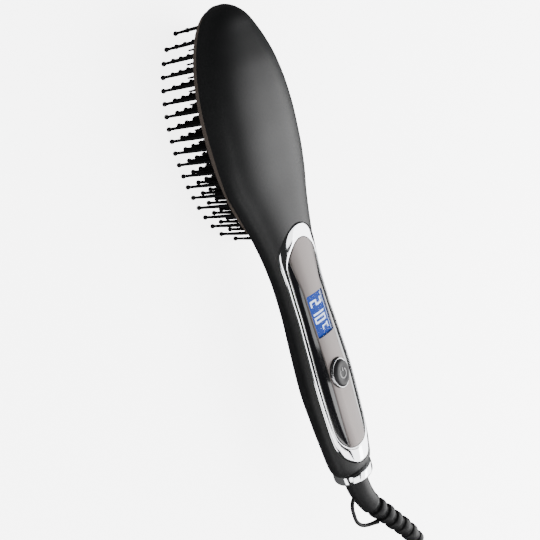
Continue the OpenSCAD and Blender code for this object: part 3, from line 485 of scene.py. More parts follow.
def lathe_y(prof, n=64):
    """Solid round the swivel's axis from (y, radius) pairs."""
    return loft([[(r * math.cos(turn(n, k)), y, AXIS + r * math.sin(turn(n, k))) for k in range(n)]
                 for y, r in prof])


def prism(outline, z0, z1):
    return loft([[(x, y, z) for x, y in outline] for z in (z1, z0)])


def box(x0, x1, y0, y1, z0, z1):
    return loft([[(x1, y, z0), (x1, y, z1), (x0, y, z1), (x0, y, z0)] for y in (y1, y0)])


def unit(v):
    v = np.asarray(v, float)
    return v / np.linalg.norm(v)


def spline(p, m):
    """Catmull-Rom points between the points of a path."""
    p = [np.asarray(q, float) for q in p]
    out = []
    for i in range(len(p) - 1):
        a, b, c, d = p[max(0, i - 1)], p[i], p[i + 1], p[min(len(p) - 1, i + 2)]
        for k in range(m):
            t = k / m
            out.append(0.5 * (2 * b + (c - a) * t + (2 * a - 5 * b + 4 * c - d) * t * t
                              + (3 * b - a - 3 * c + d) * t ** 3))
    out.append(p[-1])
    return out


def hoop(c, u, w, r, n):
    """Ring of points round c in the plane of u and w."""
    return [tuple(c + r * (math.cos(turn(n, k)) * u + math.sin(turn(n, k)) * w)) for k in range(n)]


def tube(path, r, n=16):
    """Tube along a path with a frame carried along it."""
    path = [np.asarray(p, float) for p in path]
    rings, u = [], None
    for i, c in enumerate(path):
        t = unit(path[min(i + 1, len(path) - 1)] - path[max(i - 1, 0)])
        if u is None:
            u = np.cross([0, 0, 1], t)
        u = unit(u - t * np.dot(u, t))
        rings.append(hoop(c, u, np.cross(t, u), r[i] if isinstance(r, list) else r, n))
    return loft(rings)


def spaced(points, step):
    """Even stations through the given ones, about a step apart."""
    out = []
    for a, b in zip(points, points[1:]):
        n = max(1, int(round((b - a) / step)))
        out += [a + (b - a) * k / n for k in range(n)]
    return out + [points[-1]]


# ---------------------------------------------------------------- cord, first of all pieces
# Middle lines as [x, distance from the boot's start, height]; the tail's points start at the coil's end
BOOT_Y = SWIVEL_Y - RUN
BOOT_LINE = [[0, 0, 38.3], [0.2, 3.5, 38.4], [0.7, 7.8, 38.7], [1.6, 13.5, 39.2], [3.8, 21, 40.5],
             [7, 27.4, 42.4], [10.9, 34, 44.6], [14.9, 41.5, 46.9], [19, 48.7, 49.3], [22.4, 56, 51.2],
             [25, 63.5, 52.7]]
LOOP_PATH = [[0, -12.4, 38.5], [-6.4, -14, 38.4], [-8.8, -18, 38.3], [-9, -23, 38.3], [-8.6, -28, 38.6],
             [-6, -32.4, 39.2], [-1.5, -35.2, 40.4], [5, -36.6, 43]]
FREE = [[27.6, 71.5, 53.7], [30.2, 81.5, 53], [32.6, 93, 49.6], [34.5, 105, 43.2], [35.9, 117, 34.8],
        [36.8, 129, 25.6], [37.4, 141, 17.2], [37.7, 153.5, 10.4], [37.8, 165, 6.1]]
TAIL = [[0, -8, 0.5], [0, -16, 1.6], [-2.5, -25.5, 3.2], [-9.5, -32.4, 5], [-18.9, -34.9, 7],
        [-28.4, -32.4, 8.8], [-35.3, -25.5, 9.9], [-37.8, -16, 10.3], [-37.8, -10, 10.3]]
COIL_C, COIL_Z = (0, BOOT_Y - 184), CORD / 2 + 0.9
COIL_STEPS = 60


def behind(points, m):
    return spline([(x, BOOT_Y - d, z) for x, d, z in points], m)


def coil_at(t):
    """Point of the coil after t turns: it winds out and in, one layer above the other."""
    q = t - 2 * TURNS * math.floor(t / (2 * TURNS) - 0.0001)
    r, a = COIL_R + PITCH * abs(TURNS - q), -2 * math.pi * t
    return np.array([COIL_C[0] + r * math.cos(a), COIL_C[1] + r * math.sin(a),
                     COIL_Z + PITCH * sum(ease((t - k * TURNS) * 2 + 0.5) for k in (1, 2, 3))])


boot_end, before_end = behind(BOOT_LINE, 4)[-1], behind(BOOT_LINE, 4)[-2]
coil_start = coil_at(0)
free = spline([boot_end, boot_end + 3 * unit(boot_end - before_end)]
              + [(x, BOOT_Y - d, z) for x, d, z in FREE]
              + [coil_start + [0, 9, 0], coil_start + [0, 6, 0], coil_start], 4)
turns = [coil_at(i / COIL_STEPS) for i in range(1, 4 * TURNS * COIL_STEPS + 1)]
coil_stop = turns[-1]
tail = spline([coil_stop] + [coil_stop + np.array(p) for p in TAIL], 3)[1:]
cord_line = free + turns + tail
cord_end = cord_line[-1]
cord = make("power_cord", *tube(cord_line, CORD / 2, 14), M["rubber"], None, ("cord_tube", "cord_coil"),
            "cord_black")
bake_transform(cord)

# strain relief: smooth elbow, ribs, hanging loop
boot = np.array(behind(BOOT_LINE, 12))
along = np.concatenate([[0], np.cumsum([np.linalg.norm(b - a) for a, b in zip(boot, boot[1:])])])
total = float(along[-1])


def boot_at(q):
    """Point of the boot's middle line, q mm along it."""
    return np.array([np.interp(q, along, boot[:, k]) for k in range(3)])


ribs = [total - 2.2 - RIB_PITCH * (RIBS - 1 - k) for k in range(RIBS)]
prof = [(0, BOOT_R - 0.9), (0.15, BOOT_R - 0.5), (0.5, BOOT_R - 0.12), (1, BOOT_R), (4, BOOT_R + 0.08),
        (7, BOOT_R + 0.1), (11, BOOT_R), (15, BOOT_R - 0.2), (ribs[0] - 3.2, BOOT_R - 0.5)]
for k, q in enumerate(ribs):
    r = RIB_R + 1.2 * (RIBS - 1 - k) / (RIBS - 1)
    if k:
        prof += [(q - 2.3, 4.65), (q - 2.15, r - 0.6), (q - 1.85, r - 0.2), (q - 1.3, r)]
    prof += [(q, r + 0.02), (q + 1.3, r), (q + 1.9, r - 0.2), (q + 2.2, r - 0.6), (q + 2.45, 4.7)]
    prof += [(q + 2.9, 4.6), (q + 3.9, 4.55), (q + 4.8, 4.6)]
prof = [q for q in prof if q[0] < total - 0.3] + [(total - 0.15, 4.4), (total, 4.2)]
rings = []
for q, r in prof:
    t = unit(boot_at(min(total, q + 0.6)) - boot_at(max(0, q - 0.6))) if q > 0.6 else np.array([0, -1.0, 0])
    u = unit(np.cross([0, 0, 1], t))
    rings.append(hoop(boot_at(q), u, np.cross(t, u), r, 36))
path = spline([(x, BOOT_Y + d, z) for x, d, z in LOOP_PATH], 10)
loop = tube(path, [LOOP / 2 + 0.5 * max(0, 1 - i / 9) ** 2 + 0.5 * max(0, 1 - (len(path) - 1 - i) / 9) ** 2
                   for i in range(len(path))], 14)
me = cut(raw(loft(rings)), [raw(loop)], "UNION")
bore_ends = (BOOT_Y + 1, BOOT_Y - SHAFT_OUT - 0.1 + RUN)
me = cut(scratch(me), [raw(lathe_y([(y, SHAFT + 0.02) for y in bore_ends], 48))])
relief = finish_piece("strain_relief_boot", me, M["rubber"], "swivel", ("strain_relief",), 32)

# tie round the coil and the plug: outer outline of its section, and the same drawn in by its thickness
r0, r1 = COIL_R - CORD / 2 - 0.2, COIL_R + PITCH * TURNS + CORD / 2 + 0.6
w1, h1 = r1 - r0, COIL_Z + 3 * PITCH + CORD / 2 + 0.3
outer = [(0, 0.1 + 1.2), (0.25, 0.1 + 0.4), (1.0, 0.1), (w1 - 1.0, 0.1), (w1 - 0.25, 0.5), (w1, 1.3),
         (w1, h1 - 0.6), (w1 - 0.25, h1 + 0.2), (w1 - 1.0, h1 + 0.6), (1.0, h1 + 0.6), (0.25, h1 + 0.2),
         (0, h1 - 0.6)]
cy, cz = w1 / 2, (h1 + 0.7) / 2
inner = [(cy + (y - cy) * (cy - 0.7) / cy, cz + (z - cz) * (cz - 0.75) / cz) for y, z in outer]
rings = [[(COIL_C[0] + x, COIL_C[1] - r1 + y, z) for y, z in line]
         for x, line in ((-4, outer), (-4, inner), (4, inner), (4, outer))]
tie = make("cord_tie_strap", *closed(rings), M["tie"], "handle", ("cord_tie",), "tie_black", 50)


def plug(x, y, z):
    """Point of the plug's own axes (x across, y thickness, z along) in the frame of the part."""
    return cord_end[0] - x, cord_end[1] + z, cord_end[2] + y


def stadium(hx, hy, z, n=40):
    """Section of the plug with round sides: hx is the half width, hy the half thickness."""
    out, flat = [], max(0, hx - hy)
    for k in range(n):
        a = turn(n, k + 0.5)
        out.append(plug(math.copysign(flat, math.cos(a)) + hy * math.cos(a), hy * math.sin(a), z))
    return out


stages = [(CORD / 2 + 0.3, CORD / 2 + 0.3, 0), (3.6, 3.5, 2), (3.9, 3.8, 4), (3.5, 3.4, 4.4),
          (3.5, 3.4, 5.4), (4.4, 4.2, 5.8), (4.6, 4.4, 7.6), (4.1, 3.9, 8), (4.1, 3.9, 9), (5.2, 4.7, 9.5),
          (5.5, 5.0, 11.5), (5.1, 4.6, 12), (5.4, 4.9, 13), (7.5, 5.9, 15), (10.2, 6.7, 16.6),
          (10.9, 6.95, 18), (11, 7, 20), (10.6, 6.6, 24), (10.5, 6.5, 30), (10.9, 6.9, 34), (11, 7, 36.6),
          (10.8, 6.8, 37.4), (10.4, 6.4, 37.8)]
plug_ob = make("plug_moulding", *loft([stadium(*q) for q in stages]), M["rubber"], "handle", ("plug_body",),
               "cord_black", 40)
corners = ((1, 1), (-1, 1), (-1, -1), (1, -1))
blade = ((37, 0.75, 3.2), (53.2, 0.75, 3.2), (54.3, 0.6, 2.9), (54.8, 0.3, 2.4))
blades = [loft([[plug(x + a * hx, b * hy, z) for a, b in corners] for z, hx, hy in blade])
          for x in (-6.35, 6.35)]
pins = make("plug_blades", *add(blades), M["brass"], "handle", ("plug_pins",), "brass", 30)


# ---------------------------------------------------------------- housing
def arc_up(s, n, d=0.0, inset=0.0):
    """Upper half of the section at s, d mm inside the skin at the sides and inset below it at the top."""
    a, w, e = half_w(s, d), wide(s), curve(ROUND, s)
    h = crown(s, d) - inset - w
    return [(a * super_pow(math.cos(math.pi * i / n), e), at(s),
             w + h * super_pow(max(0, math.sin(math.pi * i / n)), e)) for i in range(n + 1)]


def arc_down(s, n, d=0.0):
    a, w = half_w(s, d), wide(s)
    h = w - under(s) - d
    return [(-a * super_pow(math.cos(math.pi * i / n), 2.2), at(s),
             w - h * super_pow(max(0, math.sin(math.pi * i / n)), 2.2)) for i in range(n + 1)]


def skin_grid(x_of, ss, dz_of, lo, cols):
    """Slab on the housing's top surface: columns across at u in cols, x = u * x_of(s)."""
    up, dn = [], []
    for s in ss:
        a = x_of(s)
        for u in cols:
            up.append((u * a, at(s), top(u * a, s) + dz_of(u, a, s)))
            dn.append((u * a, at(s), top(u * a, s) + lo))
    n, m, o, f = len(cols), len(ss), len(up), []
    for i in range(m - 1):
        for j in range(n - 1):
            a, b, c, d = i * n + j, i * n + j + 1, (i + 1) * n + j + 1, (i + 1) * n + j
            f += [(a, b, c, d), (o + a, o + d, o + c, o + b)]
    for i in range(m - 1):
        a, d = i * n, (i + 1) * n
        f.append((a, d, o + d, o + a))
        a, d = i * n + n - 1, (i + 1) * n + n - 1
        f.append((a, o + a, o + d, d))
    for j in range(n - 1):
        f.append((j, o + j, o + j + 1, j + 1))
        a = (m - 1) * n + j
        f.append((a, a + 1, o + a + 1, o + a))
    return up + dn, f


def ring_outline(fx, a, b, grow=0.0, n=90):
    """Closed outline through the arch, the long sides and the rounded end, as (x, distance from the tip)."""
    ss = [a + (b - a) * (0.5 - 0.5 * math.cos(math.pi * k / (4 * n))) for k in range(4 * n + 1)]
    pts = np.array([(fx(s), s) for s in ss])
    pts[0, 0] = pts[-1, 0] = 0
    d = np.concatenate([[0], np.cumsum(np.linalg.norm(np.diff(pts, axis=0), axis=1))])
    q = np.linspace(0, d[-1], n + 1)
    r = np.column_stack([np.interp(q, d, pts[:, 0]), np.interp(q, d, pts[:, 1])])
    if grow:
        t = np.gradient(r, axis=0)
        t /= np.linalg.norm(t, axis=1)[:, None]
        r = r + grow * np.column_stack([t[:, 1], -t[:, 0]])
        r[0, 0] = r[-1, 0] = 0
    left = r[1:-1][::-1] * [-1, 1]
    return np.vstack([r, left])


def rect_outline(hx, s0, s1, r, n=6):
    out = []
    for cx, cs, a0 in ((hx - r, s0 + r, -90), (hx - r, s1 - r, 0), (-hx + r, s1 - r, 90),
                       (-hx + r, s0 + r, 180)):
        for k in range(n + 1):
            a = math.radians(a0 + 90 * k / n)
            out.append((cx + r * math.cos(a), cs + r * math.sin(a)))
    return out


def lcd_outline(grow, r):
    """Outline of the display window, that much larger."""
    return rect_outline(LCD_W / 2 + grow, LCD - LCD_L / 2 - grow, LCD + LCD_L / 2 + grow, r)


def ellipse(grow, n=64):
    """Outline of the button, that much larger."""
    return [((BRX + grow) * math.cos(turn(n, k)), BTN + (BRY + grow) * math.sin(turn(n, k)))
            for k in range(n)]


def oval(dl, n=120):
    """Outline of the head frame, dl mm inside it."""
    return [((F_W / 2 - dl) * math.cos(turn(n, k)), OVAL + (F_LEN / 2 - dl) * math.sin(turn(n, k)))
            for k in range(n)]


def column(outline, z0, z1):
    """Scratch prism over an outline of (x, distance from the tip)."""
    return raw(prism([(x, at(s)) for x, s in outline], z0, z1))


def sunk(x_of, ss, depth, n):
    """Scratch slab that takes the skin away down to a depth; n columns to a side."""
    return raw(skin_grid(x_of, ss, lambda u, a, s: 9, -depth, [k / n for k in range(-n, n + 1)]))


def swivel_seat():
    """Bore for the swivel's bush and groove for its flange, cut from both shells."""
    return [raw(lathe_y([(at(SEAT), BUSH + FIT), (at(BODY + 1), BUSH + FIT)])),
            raw(lathe_y([(at(BODY - 5.7), BUSH + 1.5), (at(BODY - 4), BUSH + 1.5)]))]


stations = ([0.08, 0.25, 0.6, 1.1, 1.8, 2.7, 3.8, 5.2, 7, 9, 11.5] + spaced([14, 250], 2.6)
            + [253, 256, 259.5] + [BODY - d for d in (7, 5.5, 4.2, 3.1, 2.2, 1.4, 0.8, 0.35, 0)])
grip_hollow = spaced([134, 238], 8) + [BODY - 15, BODY - 8, BODY - 4]
hollow = [SHELL + 0.4, 4, 7, 12] + spaced([20, 88], 8) + [RING - 16, RING - 10, RING - 4] + grip_hollow

# back shell: outer skin less the cavity, the recess of the panel, windows and bores
cavity = raw(loft([[(half_w(s, SHELL), at(s), wide(s) - 1)] + arc_up(s, 24, SHELL, curve(DECK, s))
                   + [(-half_w(s, SHELL), at(s), wide(s) - 1)] for s in hollow]))
me = cut(raw(loft([arc_up(s, 56) for s in stations])), [cavity])
posts = [raw(cylinder((x, at(s)), 2.8, PLATE_TOP + 0.1, top(x, s) - 1.9, 24)) for x, s in PLATE_SCREWS]
posts += [raw(cylinder((0, at(s)), 3.2, 30.2, crown(s) - RECESS - 0.8, 24)) for s in SHELL_SCREWS]
me = cut(scratch(me), posts, "UNION")
across = [math.sin(math.pi / 2 * k / 12) for k in range(-12, 13)]
slab = raw(skin_grid(lambda s: half_w(s) - 0.9, spaced([RING - 3, RING_END + 3], 2.6),
                     lambda u, a, s: 9, -RECESS, across))
recess = scratch(cut(slab, [column(ring_outline(ring_x, RING, RING_END, FIT), 66, 30)], "INTERSECT"))
window = column(rect_outline(LCD_W / 2 + 1.6, LCD - LCD_L / 2 - 2, LCD + LCD_L / 2 + 2, 0.6), 66, 36)
holes = [raw(cylinder((x, at(s)), 1.35, 30, 39, 20)) for x, s in PLATE_SCREWS]
holes += [raw(cylinder((0, at(s)), 1.5, 28, 39, 20)) for s in SHELL_SCREWS]
me = cut(scratch(me), [recess, window, column(ellipse(2.4), 66, 36)] + swivel_seat() + holes)
finish_piece("back_housing", me, M["shell"], "handle", ("back_shell",), 28)


# front shell under the handle
def screw_wells():
    return [raw(cylinder((0, at(s)), 3.0, 15, under(s) + 2.5, 32)) for s in SHELL_SCREWS]


cavity = raw(loft([[(-half_w(s, SHELL), at(s), wide(s) + 1)] + arc_down(s, 20, SHELL)
                   + [(half_w(s, SHELL), at(s), wide(s) + 1)] for s in [133.5] + grip_hollow]))
me = cut(raw(loft([arc_down(s, 44) for s in [LOWER] + [s for s in stations if s > LOWER]])),
         [cavity, column(oval(-FIT), 40, 20)] + swivel_seat() + screw_wells())
posts = [raw(cylinder((0, at(s)), 3.8, under(s) + 1, 29, 24)) for s in SHELL_SCREWS]
posts += [raw(cylinder((x, at(s)), 2.4, low(x, s) + 1, 34, 20)) for x, s in BOARD_POSTS]
me = cut(scratch(me), posts, "UNION")
bores = [raw(cylinder((0, at(s)), 1.6, 15, 35, 20)) for s in SHELL_SCREWS] + screw_wells()
bores += [raw(cylinder((x, at(s)), 0.9, 29, 38, 16)) for x, s in BOARD_POSTS]
me = cut(scratch(me), bores)
finish_piece("front_housing", me, M["shell_front"], "handle", ("front_shell",), 28)

# ---------------------------------------------------------------- chrome trim ring
# section of the ring: share of the way from the outer to the inner outline, height over the skin
SECTION = [(0, -RECESS), (0, -0.15), (0.02, 0.1), (0.06, 0.3), (0.13, 0.45), (0.25, 0.55), (0.5, RISE),
           (0.75, 0.55), (0.87, 0.45), (0.94, 0.3), (0.98, 0.1), (1, -0.15), (1, -RECESS)]
OUT, INN = ring_outline(ring_x, RING, RING_END), ring_outline(inner_x, IN0, IN1)
rings = [[(x, at(s), top(x, s) + dz) for x, s in OUT * (1 - u) + INN * u] for u, dz in SECTION]
make("chrome_trim_ring", *closed(rings), M["chrome"], "handle", ("chrome_ring",), "chrome_trim", 50)

# ---------------------------------------------------------------- panel, strip, window
COLS = [-1, -0.985, -0.95] + [-0.88 + 0.08 * k for k in range(23)] + [0.95, 0.985, 1]


def edge(u, a, drop=0.3, w=0.45):
    """Softened edge: how far the surface drops towards its sides."""
    d = (1 - abs(u)) * a
    return -drop * max(0, 1 - d / w) ** 2


first, last = IN0 + 0.25, IN1 - 0.25
ss = [first + (last - first) * (0.5 - 0.5 * math.cos(math.pi * i / 100)) for i in range(101)]
lcd_ends = [LCD - LCD_L / 2 - FIT, LCD + LCD_L / 2 + FIT]
# the panel beside the strip is black as painted reflection, a dark band where its surface mirrors the dark
# room
me = cut(raw(skin_grid(panel_x, ss, lambda u, a, s: edge(u, a), -RECESS, COLS)),
         [sunk(lambda s: strip_x(s) + FIT, spaced([IN0 - 2, IN1 + 3], 2.0), STRIP_T, 8),
          sunk(lambda s: LCD_W / 2 + FIT, spaced(lcd_ends, 3), LENS_T, 6),
          column(lcd_outline(-1, 0.5), 66, 30), column(ellipse(RUN), 66, 30)])
finish_piece("panel_painted_reflection", me, M["panel"], "handle", ("panel",), 25)
me = cut(raw(skin_grid(lambda s: min(strip_x(s), panel_x(s)), ss,
                       lambda u, a, s: STRIP_RISE + edge(u, a, 0.2, 0.35), -STRIP_T, COLS)),
         [column(lcd_outline(FIT, 0.8), 66, 30), column(ellipse(RUN + BZW + FIT), 66, 30)])
finish_piece("gunmetal_inlay", me, M["strip"], "handle", ("inlay_strip",), 25)


def slab_on_skin(name, inset, hi, lo, mat, **kw):
    """Thin slab in the display's place, that much smaller, with a softened edge."""
    hx, s0, s1 = LCD_W / 2 - inset, LCD - LCD_L / 2 + inset, LCD + LCD_L / 2 - inset
    stops = [s0, s0 + 0.06, s0 + 0.2] + spaced([s0 + 0.6, s1 - 0.6], 1.2) + [s1 - 0.2, s1 - 0.06, s1]
    cols = [-1, -0.99, -0.97] + [k / 10 for k in range(-9, 10)] + [0.97, 0.99, 1]

    def soft(u, a, s):
        d = min((1 - abs(u)) * a, s - s0, s1 - s)
        return hi - 0.1 * max(0, 1 - d / 0.25) ** 2

    return make(name, *skin_grid(lambda s: hx, stops, soft, lo, cols), mat, **kw)


slab_on_skin("lcd_window_pane", 0, STRIP_RISE, -LENS_T + 0.4, M["lens"], replaces=("lcd_lens",),
             slot="lcd_window")
slab_on_skin("lcd_glow", 0.05, -LENS_T + 0.2, -LENS_T + 0.02, M["lcd"], slot="lcd_blue")

# seven-segment figures, reading along the handle, plain numbers only
SEGMENTS = {"0": "abcdef", "1": "bc", "2": "abged", "C": "afed"}


def digit(ch, s0, x0, w, h, t):
    """Segments of one figure: its width runs along the handle from s0, its height across it from x0."""
    bars = {"a": (0, h - t, w, h), "d": (0, 0, w, t), "g": (0, h / 2 - t / 2, w, h / 2 + t / 2),
            "f": (0, h / 2, t, h), "b": (w - t, h / 2, w, h), "e": (0, 0, t, h / 2),
            "c": (w - t, 0, w, h / 2)}
    out, gap = [], 0.12
    for k in SEGMENTS[ch]:
        a, b, c, d = bars[k]
        ga, gb = (gap, 0) if k in "adg" else (0, gap)
        out.append((s0 + a + ga, x0 + b + gb, s0 + c - ga, x0 + d - gb))
    return out


bars = []
for k, ch in enumerate("210"):
    bars += digit(ch, LCD - 8.6 + 4.9 * k, -4.6, 3.7, 9.0, 1.05)
bars += digit("C", LCD + 7.2, -0.6, 2.6, 5.0, 0.8)
bars += [(LCD + 6.6, 3.2, LCD + 7.4, 4.4)]
bars += [(LCD - 10.8 + 2.2 * k, 5.0, LCD - 9.4 + 2.2 * k, 5.5) for k in range(3)]
# height of the figures' face and back over the skin; each bar is a row of cells that follow the skin
FACE, BACK = 0.34 - LENS_T, 0.22 - LENS_T
v, f = [], []
for s0, x0, s1, x1 in bars:
    n = max(1, math.ceil((x1 - x0) / 0.9))
    for k in range(n):
        a, b, o = x0 + (x1 - x0) * k / n, x0 + (x1 - x0) * (k + 1) / n, len(v)
        v += [(x, at(s), top(x, s) + dz) for dz in (FACE, BACK)
              for s, x in ((s0, a), (s1, a), (s1, b), (s0, b))]
        f += [(o, o + 1, o + 2, o + 3), (o + 7, o + 6, o + 5, o + 4), (o, o + 4, o + 5, o + 1),
              (o + 2, o + 6, o + 7, o + 3)]
        if k == 0:
            f.append((o, o + 3, o + 7, o + 4))
        if k == n - 1:
            f.append((o + 1, o + 5, o + 6, o + 2))
# light that leaks out beside the display
leaks = [loft([[(side * (LCD_W / 2 - d), at(s), top(LCD_W / 2 - d, s) + dz)
                for d, dz in ((0.55, FACE), (0.08, FACE), (0.08, BACK), (0.55, BACK))]
               for s in spaced([LCD - LCD_L / 2 + 0.08, LCD + LCD_L / 2 - 0.08], 3)]) for side in (1, -1)]
make("lcd_figures", *add([(v, f)] + leaks), M["lcd_fore"], "handle", (), "lcd_blue", 20, smooth=False)

# ---------------------------------------------------------------- button with bezel
# sections: growth over the button's outline, height (over the skin for the bezel, as such for the key)
BEZEL = [(RUN, -STRIP_T), (RUN, ZRISE - 0.35), (RUN + 0.08, ZRISE - 0.15), (RUN + 0.22, ZRISE - 0.03),
         (RUN + 0.4, ZRISE), (RUN + 0.62, ZRISE - 0.06), (RUN + 0.82, ZRISE - 0.25),
         (RUN + 0.95, ZRISE - 0.55), (RUN + 1, ZRISE - 0.9), (RUN + 1, -STRIP_T)]
rings = [[(x, at(s), top(x, s) + dz) for x, s in ellipse(g, 80)] for g, dz in BEZEL]
make("button_bezel_ring", *closed(rings), M["bezel"], "handle", ("button_bezel",), "chrome_trim", 50)

cap_z, cap_top = crown(BTN) - RECESS - 3.4, crown(BTN) + BRISE
KEY = [(1.1, cap_z), (1.1, cap_z + 1.2), (0.02, cap_z + 1.2), (0, cap_z + 1.4), (0, cap_top - 1.0),
       (-0.06, cap_top - 0.7), (-0.22, cap_top - 0.42), (-0.5, cap_top - 0.22), (-0.9, cap_top - 0.1),
       (-1.6, cap_top - 0.02), (-2.3, cap_top - 0.05), (-3.2, cap_top - 0.22), (-4.2, cap_top - 0.33),
       (-5.2, cap_top - 0.38)]
# the stem ends above board and switch, clear of them by the button's travel
BOARD_Z, BOARD_T, SWITCH_H, TRAVEL = 34, 1.6, 3.5, 0.8
stem_z = BOARD_Z + BOARD_T + SWITCH_H + TRAVEL + 0.05
stem = raw(cylinder((0, at(BTN)), 2.0, stem_z, cap_z + 0.4, 24))
me = cut(raw(loft([[(x, at(s), z) for x, s in ellipse(g)] for g, z in KEY])), [stem], "UNION")
finish_piece("button_key", me, M["button"], "button", ("button_cap",), 35)


def mark(points, half=0.36):
    """Raised line along points on the key's dished top."""
    v, f, n, z = [], [], len(points), cap_top - 0.1
    for i, (x, y) in enumerate(points):
        a, b = points[max(0, i - 1)], points[min(n - 1, i + 1)]
        dx, dy = b[0] - a[0], b[1] - a[1]
        dd = math.hypot(dx, dy)
        nx, ny = -dy / dd * half, dx / dd * half
        v += [(x + nx, y + ny, z), (x - nx, y - ny, z), (x - nx, y - ny, z - 0.5), (x + nx, y + ny, z - 0.5)]
    for i in range(n - 1):
        for k in range(4):
            j = (k + 1) % 4
            f.append((4 * i + k, 4 * i + j, 4 * i + 4 + j, 4 * i + 4 + k))
    return v, f + [(3, 2, 1, 0), (4 * n - 4, 4 * n - 3, 4 * n - 2, 4 * n - 1)]


arc = [math.radians(a) for a in range(38, 323, 6)]
sign = [mark([(2.5 * math.sin(a), at(BTN) + 2.9 * math.cos(a)) for a in arc]),
        mark([(0, at(BTN) + 3.5), (0, at(BTN) + 2.6), (0, at(BTN) + 1.2)])]
make("button_sign", *add(sign), M["mark"], "button", (), "button_grey", 30)

# ---------------------------------------------------------------- bristle side
# section of the rim: distance inside the oval, height
RIM = [(0.45, BL), (0.15, BL + 0.12), (0, BL + 0.45), (0, WIDE), (F_T, WIDE), (F_T, PLATE_Z),
       (F_T + LEDGE, PLATE_Z), (F_T + LEDGE, BL + PAD_T + FIT), (F_T, BL + PAD_T + FIT), (F_T, BL + 0.2),
       (F_T - 0.15, BL)]
rings = [[(x, at(s), z) for x, s in oval(d, 144)] for d, z in RIM]
make("head_rim", *closed(rings), M["frame"], "handle", ("head_frame",), "frame_brown", 40)

rows = int((FIELD_L / 2 - 0.5) / ROW)


def span(y, gap):
    """Half length of a row, that far inside the oval field."""
    return (FIELD_W / 2 - gap) * math.sqrt(max(0, 1 - (y / (FIELD_L / 2 - gap)) ** 2))


def tooth_xs(half):
    n = int(2 * half / TOOTH_P + 1e-9)
    return [(i - n / 2) * TOOTH_P for i in range(n + 1)]


def bristle_xs(half):
    n = max(1, round(2 * half / COL))
    return [(2 * i / n - 1) * half for i in range(n + 1)]


def strand(x, y, lean, prof, n=10):
    """Bristle or tooth from (height, radius, share of the lean) triples."""
    return loft([[(x + lean * shift + r * math.cos(turn(n, k)), at(OVAL) + y - r * math.sin(turn(n, k)), z)
                  for k in range(n)] for z, r, shift in prof])


BRISTLE = [(BL + 0.8, ROOT_R + 0.1, 0), (BL + 0.1, ROOT_R + 0.1, 0),
           (BL - 0.6, ROOT_R - 0.02, SPLAY * 0.01), (BL - 4, ROOT_R - 0.08, SPLAY * 0.12),
           (BL * 0.5, (ROOT_R + STRAND_R) / 2, SPLAY * 0.46), (5, STRAND_R, SPLAY * 0.8),
           (2.9, STRAND_R - 0.02, SPLAY * 0.88), (2.55, STRAND_R + 0.12, SPLAY * 0.9)]
for k in range(1, 6):
    angle = math.pi * (0.24 + 0.76 * k / 6)
    BRISTLE.append((BALL * (1 + math.cos(angle)), BALL * math.sin(angle), SPLAY * (0.92 + 0.08 * k / 6)))
BRISTLE.append((0.0, BALL * 0.12, SPLAY))
field = [(x, j * ROW) for j in range(-rows, rows + 1) for x in bristle_xs(span(j * ROW, 0))]
strands = [strand(x, y, 0 if abs(x) < span(y, 0.1) else 2 * x / FIELD_W, BRISTLE) for x, y in field]
make("bristles_ball_tipped", *add(strands), M["bristle"], "handle", (), "bristle_black", 60)

combs = [(j + 0.5) * ROW for j in range(-rows, rows)]
slots = []
for y in combs:
    h, w = span(y, COMB_GAP) + 1 + FIT, COMB_T / 2 + FIT
    slots.append(box(-h, h, at(OVAL) + y + w, at(OVAL) + y - w, 0, 60))
me = cut(column(oval(F_T + FIT), BL + PAD_T, BL), [raw(add(slots))])
finish_piece("bristle_base", me, M["pad"], "handle", ("bristle_pad",), 35)

TOOTH = [(COMB_Z + 0.5, 0.7, 0), (COMB_Z, 0.7, 0), (COMB_Z - 1, 0.66, 0), (BL - TOOTH_L + 2, 0.52, 0),
         (BL - TOOTH_L + 0.6, 0.47, 0), (BL - TOOTH_L + 0.15, 0.33, 0), (BL - TOOTH_L, 0.12, 0)]
me = cut(column(oval(F_T + 0.9), PLATE_TOP, PLATE_Z),
         [raw(cylinder((x, at(s)), 1.3, 20, 50, 20)) for x, s in PLATE_SCREWS])
teeth = []
for y in combs:
    h, w, c = span(y, COMB_GAP) + 1, COMB_T / 2, at(OVAL) + y
    section = [(-w, PLATE_Z + 0.2), (-w, COMB_Z + 0.25), (-w + 0.25, COMB_Z), (w - 0.25, COMB_Z),
               (w, COMB_Z + 0.25), (w, PLATE_Z + 0.2)]
    teeth.append(loft([[(x, c + a, z) for a, z in section] for x in (-h, h)]))
    teeth += [strand(x, y, 0, TOOTH, 8) for x in tooth_xs(span(y, COMB_GAP))]
extra = raw(add(teeth))
bm = bmesh.new()
bm.from_mesh(me)
bm.from_mesh(extra.data)
bm.to_mesh(me)
bm.free()
bpy.data.objects.remove(extra)
finish_piece("heated_plate_teeth", me, M["heat"], "handle", ("heat_plate",), 40)

# ---------------------------------------------------------------- collar at the end of the handle
# sections from the handle outwards: distance from its end, how much smaller than the collar's widest
rounding = ((0, 0.55), (0.12, 0.25), (0.4, 0.05), (0.8, 0), (COLLAR_L - 1.6, 0), (COLLAR_L - 0.9, 0.12),
            (COLLAR_L - 0.4, 0.45), (COLLAR_L - 0.1, 0.95), (COLLAR_L, 1.5))
prof = ([(END_Y, BUSH + FIT, BUSH + FIT)] + [(END_Y - d, CRX - g, CRZ - g) for d, g in rounding]
        + [(SWIVEL_Y, BUSH + FIT, BUSH + FIT)])
rings = [[(a * math.cos(turn(96, k)), y, AXIS + b * math.sin(turn(96, k))) for k in range(96)]
         for y, a, b in prof]
make("chrome_collar", *closed(rings), M["chrome"], "handle", ("collar",), "chrome_trim", 40)

